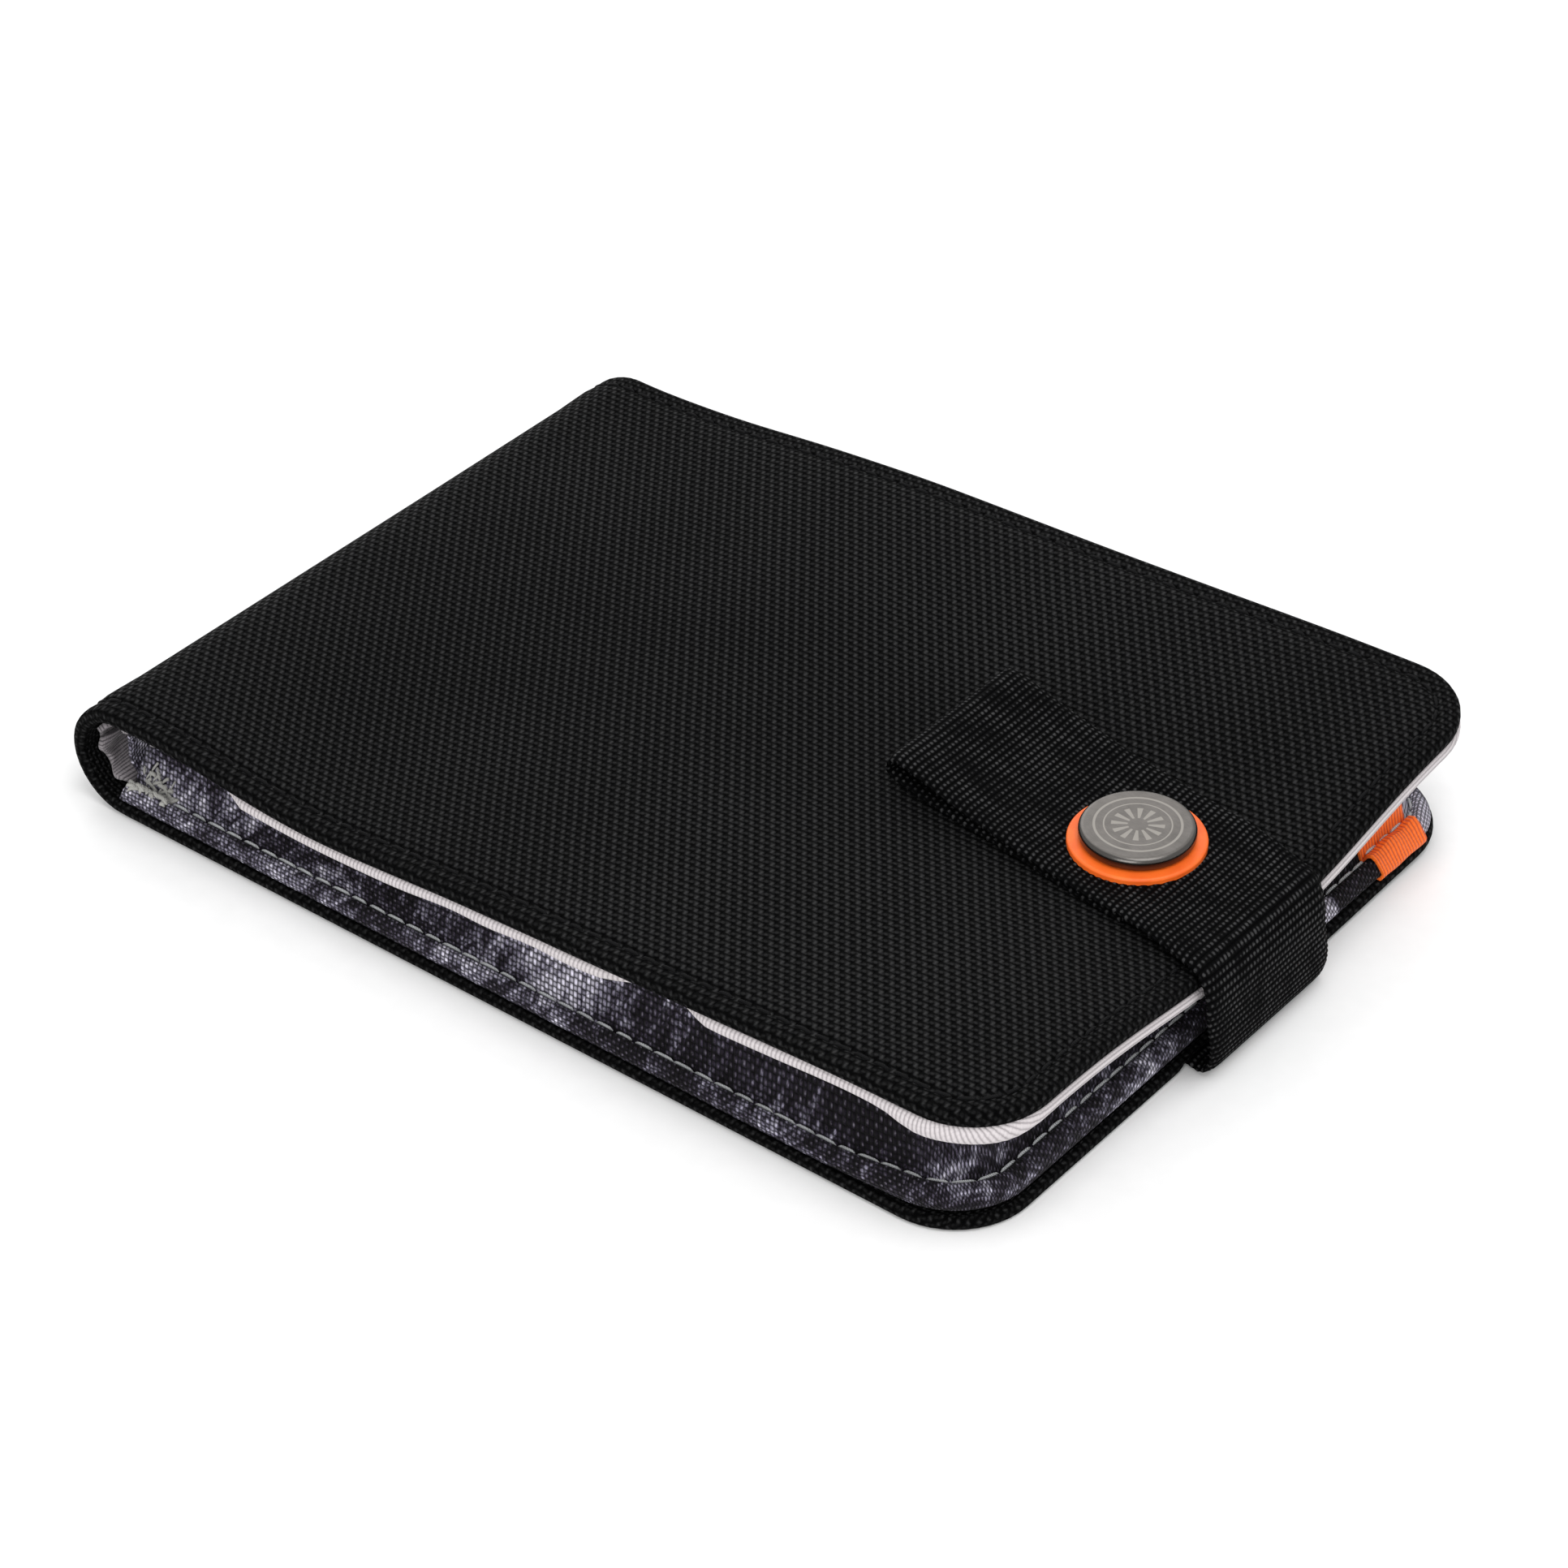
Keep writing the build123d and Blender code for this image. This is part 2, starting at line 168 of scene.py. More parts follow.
def in_top(x, y, z):
    """Flat coordinates to the top cover's shape, with its lift and the dish at the snap."""
    angle = np.maximum(X_BEND - x, 0) / NOSE_R
    r = NOSE_R - (THICK - z)
    bent = x < X_BEND
    stretch = TOP_OVERHANG * soft(x, X_BEND, X_OPEN) ** 2
    off_axis = np.hypot(x - SNAP.x, y - SNAP.y)
    dish = DISH_DEPTH * soft(off_axis, DISH_R, DISH_R - 2.4 * MM) * soft(z, THICK - COVER_T, THICK)
    px = np.where(bent, X_BEND - r * np.sin(angle), x + stretch)
    pz = np.where(bent, NOSE_R + r * np.cos(angle), z - dish)
    return np.stack([px, y, pz + lift(x, y) * soft(x, X_MID, X_MID + 9 * MM)], -1)


def in_pouch(x, y, z):
    """The pouch's ridge follows the top cover that lies on it, and its foot stays flat. Its
    rolled rim is lower and wider along the front, and lower at the far end of the opening edge."""
    front = soft(y, -30 * MM, -44 * MM) * soft(x, 64 * MM, 48 * MM)
    low = np.maximum(front, soft(y, 8 * MM, 20 * MM) * soft(x, 40 * MM, 50 * MM))
    rim = soft(z, Z_POUCH, Z_POUCH + 2.4 * MM) * soft(z, 9.5 * MM, 6 * MM)
    side = soft(z, Z_POUCH - 0.4 * MM, Z_POUCH + 0.8 * MM) * soft(z, 9 * MM, 5 * MM)
    raised = z - 0.9 * MM * low * rim + soft(z, 5 * MM, 9 * MM) * lift(x, y)
    return np.stack([x, y - 0.8 * MM * front * side, raised], -1)


def in_panel(x, y, z):
    """The top cover's lining: its turned edge is fuller at the front corner, and the cover's
    hem hides it beside the spine and for a short way along the front."""
    from_end, from_side = x - X_OPEN + 6 * MM, y + HALF_W - 3 * MM
    corner = np.exp(-((from_end / (8 * MM)) ** 6) - (from_side / (6.5 * MM)) ** 4)
    z = THICK - COVER_T - (THICK - COVER_T - z) * (1 + 0.6 * corner)
    hidden = soft(x, -44 * MM, -49 * MM) + np.exp(-(((x - 22 * MM) / (6 * MM)) ** 4))
    pucker = np.sin(x / (3.1 * MM) + 2 * np.sin(x / (11 * MM)))
    tuck = (1.9 * MM * hidden + 0.15 * MM * pucker) * soft(y, -40 * MM, -48 * MM)
    return in_top(x, y + tuck - 0.35 * MM * corner, z)


# Mesh building ---------------------------------------------------------------------------


def make_object(name, points, faces, flat=None, inset=None, close=False):
    """A smooth-shaded mesh object with its flat coordinates kept for the weave."""
    mesh = bpy.data.meshes.new(name)
    mesh.from_pydata(np.asarray(points, float).tolist(), [], [list(f) for f in faces])
    flat = points if flat is None else flat
    mesh.attributes.new("Flat", "FLOAT_VECTOR", "POINT").data.foreach_set(
        "vector", np.asarray(flat, np.float32).ravel())
    depth = np.full(len(points), CORNER_R) if inset is None else inset
    mesh.attributes.new("Inset", "FLOAT", "POINT").data.foreach_set(
        "value", np.asarray(depth, np.float32))
    if close:
        bm = bmesh.new()
        bm.from_mesh(mesh)
        bmesh.ops.holes_fill(bm, edges=[e for e in bm.edges if e.is_boundary], sides=0)
        bmesh.ops.triangulate(bm, faces=[f for f in bm.faces if len(f.verts) > 4])
        bmesh.ops.recalc_face_normals(bm, faces=bm.faces)
        bm.to_mesh(mesh)
        bm.free()
    mesh.polygons.foreach_set("use_smooth", [True] * len(mesh.polygons))
    obj = bpy.data.objects.new(name, mesh)
    bpy.context.scene.collection.objects.link(obj)
    return obj


def travelled(points):
    """The arc length at each point of a polyline."""
    return np.concatenate([[0], np.cumsum(np.linalg.norm(np.diff(points, axis=0), axis=1))])


def directions(points):
    """A unit tangent at each point of a polyline."""
    tangent = np.gradient(points, axis=0)
    return tangent / np.linalg.norm(tangent, axis=1)[:, None]


def outline(inset, x_start, x_end, half_w, corner_r, n_long, n_end, n_corner=12):
    """Points round a cover's three free sides, from the spine's front end to its back end."""
    r = corner_r - inset
    x_c, y_c = x_end - corner_r, half_w - corner_r
    along = np.linspace(x_start, x_c, n_long + 1)[:-1]
    ends = np.linspace(-y_c, y_c, n_end + 1)[1:-1]
    turn = np.linspace(0, math.pi / 2, n_corner + 1)
    front = np.stack([along, np.full(n_long, -half_w + inset)], 1)
    corner_a = np.stack([x_c + r * np.sin(turn), -y_c - r * np.cos(turn)], 1)
    end = np.stack([np.full(n_end - 1, x_end - inset), ends], 1)
    corner_b = np.stack([x_c + r * np.cos(turn), y_c + r * np.sin(turn)], 1)
    back = np.stack([along[::-1], np.full(n_long, half_w - inset)], 1)
    return np.concatenate([front, corner_a, end, corner_b, back])


def unrolled(profile, corner_r):
    """Insets as if the cloth were laid out: from the upper face, on round the edge."""
    points = np.array(profile)[::-1]
    arc = travelled(points)
    past_edge = np.arange(len(points)) > np.argmin(points[:, 0])
    laid = np.where(past_edge & (points[:, 0] > 2.5 * MM), points[:, 0], corner_r - arc)
    return laid[::-1]


def plate(name, shape, profile, x_start, x_end=X_OPEN, margin=0.0, step=2.0 * MM, upside=True):
    """A closed cover-shaped piece. profile runs as (inset, z) in mm from the underside,
    round the edge, to the upper side; shape places flat coordinates in the frame. The weave
    runs on from the upper face round the edge, or from the lower one without upside."""
    half_w, x_end, corner_r = HALF_W - margin, x_end - margin, max(CORNER_R - margin, 2 * MM)
    n_long = max(2, round((x_end - corner_r - x_start) / step))
    n_end = max(2, round(2 * (half_w - corner_r) / step))
    size = (x_start, x_end, half_w, corner_r, n_long, n_end)
    profile = [(corner_r if i == FULL else min(i * MM, corner_r), z * MM) for i, z in profile]
    laid = unrolled(profile, corner_r) if upside else unrolled(profile[::-1], corner_r)[::-1]
    rows = []
    for (inset, z), laid_inset in zip(profile, laid):
        ring, cloth = outline(inset, *size), outline(laid_inset, *size)
        n = len(ring)
        rows.append(np.column_stack([ring, np.full(n, z), np.full(n, inset), cloth]))
    faces = [
        (k * n + j, k * n + j + 1, (k + 1) * n + j + 1, (k + 1) * n + j)
        for k in range(len(rows) - 1)
        for j in range(n - 1)
    ]
    xs = np.linspace(x_start, x_end - corner_r, n_long + 1)
    ys = np.linspace(-half_w + corner_r, half_w - corner_r, n_end + 1)
    start = len(rows) * n
    for z, up in ((profile[0][1], False), (profile[-1][1], True)):
        gx, gy = np.meshgrid(xs, ys, indexing="ij")
        rows.append(np.column_stack([gx.ravel(), gy.ravel(), np.full(gx.size, z),
                                     np.full(gx.size, corner_r), gx.ravel(), gy.ravel()]))
        for i in range(n_long):
            for j in range(n_end):
                a = start + i * (n_end + 1) + j
                quad = (a, a + n_end + 1, a + n_end + 2, a + 1)
                faces.append(quad if up else quad[::-1])
        start += gx.size
    points = np.concatenate(rows)
    grain = 1e-7  # points closer than this are one
    _, first, same = np.unique(np.round(points[:, :3] / grain), axis=0,
                               return_index=True, return_inverse=True)
    same = same.ravel()
    points = points[first]
    merged = []
    for f in faces:
        loop = [same[v] for i, v in enumerate(f) if same[v] != same[f[i - 1]]]
        if len(loop) > 2:
            merged.append(loop)
    placed = shape(points[:, 0], points[:, 1], points[:, 2])
    return make_object(name, placed, merged, points[:, [4, 5, 2]], points[:, 3] + margin, close=True)


def resample(points, step):
    """Evenly spaced points along a polyline."""
    points = np.asarray(points, float)
    lengths = travelled(points)
    at = np.linspace(0, lengths[-1], max(2, round(lengths[-1] / step) + 1))
    return np.stack([np.interp(at, lengths, c) for c in points.T], 1)


def spline(points, per_span=12):
    """A Catmull-Rom curve through given points."""
    p = np.asarray(points, float)
    p = np.concatenate([[2 * p[0] - p[1]], p, [2 * p[-1] - p[-2]]])
    t = np.linspace(0, 1, per_span, endpoint=False)[:, None]
    out = []
    for a, b, c, d in zip(p, p[1:], p[2:], p[3:]):
        out.append(0.5 * (2 * b + (c - a) * t + (2 * a - 5 * b + 4 * c - d) * t**2
                          + (3 * b - a - 3 * c + d) * t**3))
    return np.concatenate([*out, p[-2:-1]])


def strap_band(name, path, start=0.0, lean=None):
    """Webbing that follows path, (x, z) points, with rounded selvedges and cross ribs. Its ribs
    count from start, and lean adds height off its middle. Returns it and its end's length."""
    line = resample(path, RIB_PITCH / 5)
    tangent = directions(line)
    normal = np.stack([-tangent[:, 1], tangent[:, 0]], 1)
    s = start + travelled(line)
    width = np.linspace(-1, 1, 25)
    half_t = WEB_T / 2 * np.sqrt(np.clip(1 - np.abs(width) ** 16, 0.05, 1))
    across = np.concatenate([width, width[::-1]]) * WEBBING_W / 2
    side = np.concatenate([half_t, -half_t[::-1]])
    n, m = len(line), len(across)
    ribs = RIB_H * np.abs(np.sin(math.pi * s / RIB_PITCH)) - RIB_H / 2
    h = side[None, :] + np.sign(side)[None, :] * ribs[:, None]
    middle = strap_y(line[:, 0], line[:, 1])
    points = np.stack([
        line[:, :1] + normal[:, :1] * h,
        middle[:, None] + np.repeat(across[None, :], n, 0),
        line[:, 1:] + normal[:, 1:] * h,
    ], -1)
    if lean is not None:
        points[..., 2] += lean(points[..., 0], points[..., 1])
    flat = np.stack([np.repeat(s[:, None], m, 1), np.repeat(across[None, :], n, 0), h], -1)
    faces = [
        (i * m + j, i * m + (j + 1) % m, (i + 1) * m + (j + 1) % m, (i + 1) * m + j)
        for i in range(n - 1)
        for j in range(m)
    ]
    return make_object(name, points.reshape(-1, 3), faces, flat.reshape(-1, 3), close=True), s[-1]


def grid_faces(rows, columns):
    """Quads between the points of a grid, row after row."""
    return [(i * columns + j, i * columns + j + 1, (i + 1) * columns + j + 1, (i + 1) * columns + j)
            for i in range(rows - 1) for j in range(columns - 1)]


def stitch_row(name, shape, route, length, pitch, radius, jitter=0.0, seed=1):
    """A row of separate thread stitches along route, flat (x, y, z) points. Each is a tube that
    thins and dives into the cloth at both ends."""
    sides, rings = 8, 9
    rng = np.random.default_rng(seed)
    route = resample(route, 0.4 * MM)
    placed = shape(*route.T)
    above = shape(route[:, 0], route[:, 1], route[:, 2] + 0.2 * MM)
    travel = travelled(placed)
    around = np.linspace(0, 2 * math.pi, sides + 1)[:-1]
    along = np.linspace(-1, 1, rings)
    swell = np.sqrt(1 - (0.97 * along) ** 4)
    height = radius * (0.9 * (1 - along**4) - 0.55)
    points, faces = [], []
    for k in range(int(travel[-1] / pitch)):
        at = (k + 0.5) * pitch + along * length / 2 * (1 + jitter * rng.uniform(-1, 1))
        centre = np.stack([np.interp(at, travel, c) for c in placed.T], 1)
        up = np.stack([np.interp(at, travel, c) for c in (above - placed).T], 1)
        up /= np.linalg.norm(up, axis=1)[:, None]
        side = np.cross(directions(centre), up)
        skew = jitter * radius * 2 * rng.uniform(-1, 1)
        centre = centre + up * height[:, None] + side * (skew * along)[:, None]
        ring = up[:, None] * np.cos(around)[None, :, None] + side[:, None] * np.sin(around)[None, :, None]
        points.append((centre[:, None] + ring * (radius * swell)[:, None, None]).reshape(-1, 3))
        start = k * sides * rings
        last = start + sides * (rings - 1)
        for row in range(start, last, sides):
            for j in range(sides):
                a, b = row + j, row + (j + 1) % sides
                faces.append((a, b, b + sides, a + sides))
        faces.append(tuple(range(start, start + sides))[::-1])
        faces.append(tuple(range(last, last + sides)))
    return make_object(name, np.concatenate(points), faces)


# Materials -------------------------------------------------------------------------------


class Shader:
    """Builds one procedural material on a Principled shader. Each method adds nodes and
    returns the output socket, and any value may be a number or another node's socket."""

    def __init__(self, name, roughness=0.8, specular=0.3, metallic=0.0, sheen=0.0, sheen_tint=None):
        self.material = bpy.data.materials.new(name)
        self.material.use_nodes = True
        self.tree = self.material.node_tree
        self.surface = self.tree.nodes["Principled BSDF"]
        self.surface.inputs["Roughness"].default_value = roughness
        self.surface.inputs["Specular IOR Level"].default_value = specular
        self.surface.inputs["Metallic"].default_value = metallic
        self.surface.inputs["Sheen Weight"].default_value = sheen
        self.surface.inputs["Sheen Roughness"].default_value = 0.5
        if sheen_tint:
            self.surface.inputs["Sheen Tint"].default_value = (*sheen_tint, 1)

    def put(self, socket, value):
        """Links a socket to another, or sets its constant."""
        if isinstance(value, bpy.types.NodeSocket):
            self.tree.links.new(value, socket)
        elif value is not None:
            socket.default_value = value

    def node(self, kind, **settings):
        made = self.tree.nodes.new("ShaderNode" + kind)
        for key, value in settings.items():
            setattr(made, key, value)
        return made

    def math(self, operation, a, b=None, c=None):
        made = self.node("Math", operation=operation)
        for socket, value in zip(made.inputs, (a, b, c)):
            self.put(socket, value)
        return made.outputs[0]

    def times(self, a, b):
        return self.math("MULTIPLY", a, b)

    def attribute(self, name):
        return self.node("Attribute", attribute_name=name)

    def flat(self):
        """Separate flat x, y and z."""
        split = self.node("SeparateXYZ")
        self.put(split.inputs[0], self.attribute("Flat").outputs["Vector"])
        return split.outputs

    def noise(self, scale, detail=3.0, roughness=0.5, vector=None, stretch=None, distortion=0.0):
        made = self.node("TexNoise")
        vector = vector or self.attribute("Flat").outputs["Vector"]
        if stretch:
            mapping = self.node("Mapping")
            self.put(mapping.inputs["Vector"], vector)
            mapping.inputs["Scale"].default_value = stretch
            vector = mapping.outputs[0]
        self.put(made.inputs["Vector"], vector)
        made.inputs["Scale"].default_value = scale
        made.inputs["Detail"].default_value = detail
        made.inputs["Roughness"].default_value = roughness
        made.inputs["Distortion"].default_value = distortion
        return made.outputs[0]

    def remap(self, value, low, high, to_low=0.0, to_high=1.0):
        made = self.node("MapRange")
        for socket, v in zip(made.inputs, (value, low, high, to_low, to_high)):
            self.put(socket, v)
        return made.outputs[0]

    def ramp(self, value, *stops):
        made = self.node("ValToRGB")
        while len(made.color_ramp.elements) < len(stops):
            made.color_ramp.elements.new(0.5)
        for element, (at, colour) in zip(made.color_ramp.elements, stops):
            element.position = at
            element.color = (*colour, 1)
        self.put(made.inputs[0], value)
        return made.outputs[0]

    def mix(self, factor, a, b, blend="MIX"):
        made = self.node("Mix", data_type="RGBA", blend_type=blend)
        self.put(made.inputs["Factor"], factor)
        for socket, value in ((made.inputs[6], a), (made.inputs[7], b)):
            self.put(socket, (*value, 1) if isinstance(value, tuple) else value)
        return made.outputs[2]

    def finish(self, colour, height, distance, strength, roughness=None):
        """Sets the surface, with a bump of height times distance, and returns the material."""
        self.put(self.surface.inputs["Base Color"], (*colour, 1) if isinstance(colour, tuple) else colour)
        if roughness is not None:
            self.put(self.surface.inputs["Roughness"], roughness)
        bump = self.node("Bump")
        bump.inputs["Strength"].default_value = strength
        bump.inputs["Distance"].default_value = distance
        self.put(bump.inputs["Height"], height)
        self.put(self.surface.inputs["Normal"], bump.outputs[0])
        return self.material

    def absolute_sine(self, value, pitch):
        """Rounded bumps from 0 to 1, one to each pitch."""
        turn = self.times(value, math.pi / pitch)
        return self.math("ABSOLUTE", self.math("SINE", turn))

    def weave(self, x, y, pitch_x, pitch_y, float_x, float_y):
        """Plain weave: (height, parity), where parity 0 is a cell whose thread runs along y."""
        u, v = self.math("DIVIDE", x, pitch_x), self.math("DIVIDE", y, pitch_y)
        cell = self.math("ADD", self.math("FLOOR", u), self.math("FLOOR", v))
        parity = self.math("FLOORED_MODULO", cell, 2.0)
        wave_u, wave_v = self.absolute_sine(u, 1), self.absolute_sine(v, 1)
        long_v = self.math("MULTIPLY_ADD", wave_v, float_y, 1 - float_y)
        long_u = self.math("MULTIPLY_ADD", wave_u, float_x, 1 - float_x)
        warp = self.times(wave_u, long_v)
        weft = self.times(wave_v, long_u)
        keep_weft = self.times(weft, parity)
        keep_warp = self.times(warp, self.math("SUBTRACT", 1.0, parity))
        return self.math("ADD", keep_warp, keep_weft), parity


def cover_cloth():
    """Coarse black nylon: fat yarns, more wavy at the hem. Its colour holds painted light: a painted sheen
    on the yarns that run one way, painted highlights on the yarn tops and painted shade between them.
    """
    s = Shader("cover_cloth", specular=0.05)
    pitch_x, pitch_y = 0.80 * MM, 1.05 * MM
    x, y, z = s.flat()
    edge = s.remap(s.attribute("Inset").outputs["Fac"], 0.4 * MM, 3.4 * MM)
    drift = s.remap(edge, 0, 1, 1.0 * MM, 0.26 * MM)
    x = s.math("MULTIPLY_ADD", s.noise(240, 2, 0.5), drift, x)
    y = s.math("MULTIPLY_ADD", s.noise(300, 2, 0.5), drift, y)
    height, parity = s.weave(x, y, pitch_x, pitch_y, 0.5, 0.45)
    fibre = s.noise(4200, 2, 0.7, stretch=(0.3, 1, 1))
    # The painted highlights on the yarns join up in chains that run diagonally over the weave
    across = s.math("ADD", s.math("DIVIDE", x, pitch_x), s.math("DIVIDE", y, pitch_y))
    diagonal = s.math("COSINE", s.times(across, math.pi))
    chain = s.math("POWER", s.remap(diagonal, 1, -1), 1.1)
    # Painted shade: the gaps between the yarns are darker than their tops, and one way's yarns carry a
    # painted sheen
    plump = s.remap(height, 0.3, 0.95)
    lit = s.times(plump, s.math("MULTIPLY_ADD", parity, -0.5, 1.0))
    lit = s.math("MAXIMUM", lit, s.times(chain, 0.62))
    # Painted shade between the rows of yarn; the cloth is also darker towards the hem
    lit = s.times(lit, s.remap(s.absolute_sine(y, pitch_y), 0.1, 0.85, 0.3, 1.12))
    lit = s.times(lit, s.remap(edge, 0, 1, 0.7, 1.0))
    lit = s.times(lit, s.remap(fibre, 0.3, 0.7, 0.72, 1.3))
    lit = s.times(lit, s.remap(s.noise(28, 3), 0.3, 0.7, 0.85, 1.12))
    colour = s.ramp(lit, (0.0, (0.0001, 0.0001, 0.0002)), (0.2, (0.0009, 0.0009, 0.001)),
                    (0.48, (0.0085, 0.0085, 0.0088)), (1.0, (0.023, 0.023, 0.0235)))
    bump = s.math("MULTIPLY_ADD", fibre, 0.12, s.math("MULTIPLY_ADD", chain, 0.35, height))
    rough = s.remap(lit, 0, 1, 0.95, 0.5)
    return s.finish(colour, bump, 0.34 * MM, 0.9, rough)


# Where the print is lighter, or darker below 0: (x, y, reach x, reach y, strength), in mm
PRINT_PATCHES = (
    (-64, -54, 12, 7, 0.17), (-42, -57, 12, 3, 0.1), (5, -50, 6, 7, 0.15), (-14, -56, 10, 3, 0.14),
    (30, -50, 12, 9, -0.05), (52, -49, 13, 6, -0.07), (40, -57, 9, 2.5, 0.1), (74, -20, 4, 7, 0.14),
    (75, 22, 8, 2.2, 0.7), (73, 27, 6, 6, -0.16), (70, 48, 9, 4.5, 0.6), (-20, 10, 40, 30, -0.05),
)


def printed_twill():
    """Fine twill with a soft mottled print, near black to lavender grey."""
    s = Shader("printed_twill", roughness=0.85, specular=0.12, sheen=0.04)
    x, y, z = s.flat()

    def patch(cx, cy, rx, ry, strength):
        """One soft patch of the print."""
        dx = s.math("DIVIDE", s.math("SUBTRACT", x, cx * MM), rx * MM)
        dy = s.math("DIVIDE", s.math("SUBTRACT", y, cy * MM), ry * MM)
        far = s.math("ADD", s.times(dx, dx), s.times(dy, dy))
        return s.times(s.math("EXPONENT", s.times(far, -1.0)), strength)

    clouds = s.noise(75, 6, 0.62, stretch=(0.8, 1, 1), distortion=0.5)
    marks = s.noise(480, 6, 0.74, stretch=(1, 0.6, 0.6), distortion=0.6)
    tone = s.math("MULTIPLY_ADD", s.math("SUBTRACT", marks, 0.5), 1.15, clouds)
    for cx, cy, rx, ry, strength in PRINT_PATCHES:
        tone = s.math("ADD", tone, patch(cx, cy, rx, ry, strength))
    base = s.ramp(tone, (0.38, (0.0045, 0.003, 0.006)), (0.52, (0.026, 0.021, 0.034)),
                  (0.62, (0.16, 0.15, 0.20)), (0.76, (0.50, 0.48, 0.56)))
    pitch = 0.66 * MM
    slant = s.math("MULTIPLY_ADD", y, 0.5, x)
    height, parity = s.weave(slant, y, pitch, pitch * 0.75, 0.7, 0.7)
    # Painted light on the twill: the raised yarns are lighter and the gaps between them darker as painted
    # shade, and the brightest tops get a painted glint of lavender grey
    lit_yarn = s.times(height, s.math("MULTIPLY_ADD", parity, -0.5, 1.0))
    shade = s.remap(lit_yarn, 0.1, 0.85, 0.12, 1.7)
    doubled = s.ramp(s.times(shade, 0.5), (0, (0, 0, 0)), (1, (2, 2, 2)))
    shaded = s.mix(1.0, base, doubled, "MULTIPLY")
    grain = s.remap(s.noise(2600, 3, 0.6), 0.4, 0.7)
    glint = s.times(s.remap(lit_yarn, 0.6, 0.95, 0, 0.34), grain)
    return s.finish(s.mix(glint, shaded, (0.4, 0.37, 0.44)), height, 0.2 * MM, 0.9)


def ribbed(name, low, high, pitch, distance, roughness=0.75, sheen=0.1, along=0, mottle=0.12):
    """A ribbed tape: ribs at pitch along flat x or y, with a fine cross weave."""
    s = Shader(name, roughness=roughness, specular=0.25, sheen=sheen)
    axes = s.flat()
    main, cross = axes[along], axes[1 - along]
    height, parity = s.weave(main, cross, pitch, pitch * 0.8, 0.35, 0.35)
    form = s.math("MULTIPLY_ADD", height, 0.45, s.absolute_sine(main, pitch))
    grain = s.noise(900, 3, 0.6)
    # Painted shade: the ribs' tops are lighter and their grooves darker, mottled by a random grain
    tone = s.math("MULTIPLY_ADD", s.math("SUBTRACT", grain, 0.5), mottle * 2, s.times(form, 0.7))
    colour = s.ramp(tone, (0.1, low), (0.8, high))
    return s.finish(colour, form, distance, 0.8)


def webbing():
    """Black strap webbing: its ribs are geometry, and the dots along them are here, as painted highlights
    on the rib tops with painted shade between the ribs.
    """
    s = Shader("webbing", specular=0.04)
    x, y, z = s.flat()
    rib = s.absolute_sine(x, RIB_PITCH)
    row = s.math("FLOORED_MODULO", s.math("FLOOR", s.math("DIVIDE", x, RIB_PITCH)), 2.0)
    shift = s.math("MULTIPLY_ADD", row, 0.35 * MM, y)
    shift = s.math("MULTIPLY_ADD", s.noise(500, 2), 0.25 * MM, shift)
    dots = s.absolute_sine(shift, 0.7 * MM)
    form = s.times(rib, s.math("MULTIPLY_ADD", dots, 0.6, 0.4))
    fibre = s.noise(4200, 2, 0.7, stretch=(1, 0.4, 1))
    patchy = s.remap(s.noise(420, 3, 0.6, stretch=(0.25, 1, 1)), 0.35, 0.65, 0.65, 1.2)
    lit = s.times(s.math("POWER", form, 1.9), s.remap(fibre, 0.3, 0.7, 0.7, 1.3))
    lit = s.times(lit, patchy)
    colour = s.ramp(lit, (0.0, (0.0001, 0.0001, 0.0002)), (0.45, (0.0022, 0.0022, 0.0025)),
                    (1.0, (0.046, 0.046, 0.047)))
    return s.finish(colour, form, 0.22 * MM, 0.8, s.remap(lit, 0, 1, 0.85, 0.5))


def thread(name, dark, light, specular=0.25):
    """Twisted sewing thread."""
    s = Shader(name, roughness=0.6, specular=specular)
    x, y, z = s.flat()
    twist = s.math("ADD", s.math("ADD", x, y), s.times(z, 1.5))
    ply = s.absolute_sine(twist, 0.34 * MM)
    # Painted highlight on the ply's crests and painted shade in the twist's grooves, over a random tone
    tone = s.math("MULTIPLY_ADD", s.noise(700, 3), 0.5, s.times(ply, 0.6))
    return s.finish(s.ramp(tone, (0.15, dark), (0.85, light)), ply, 0.06 * MM, 0.7)


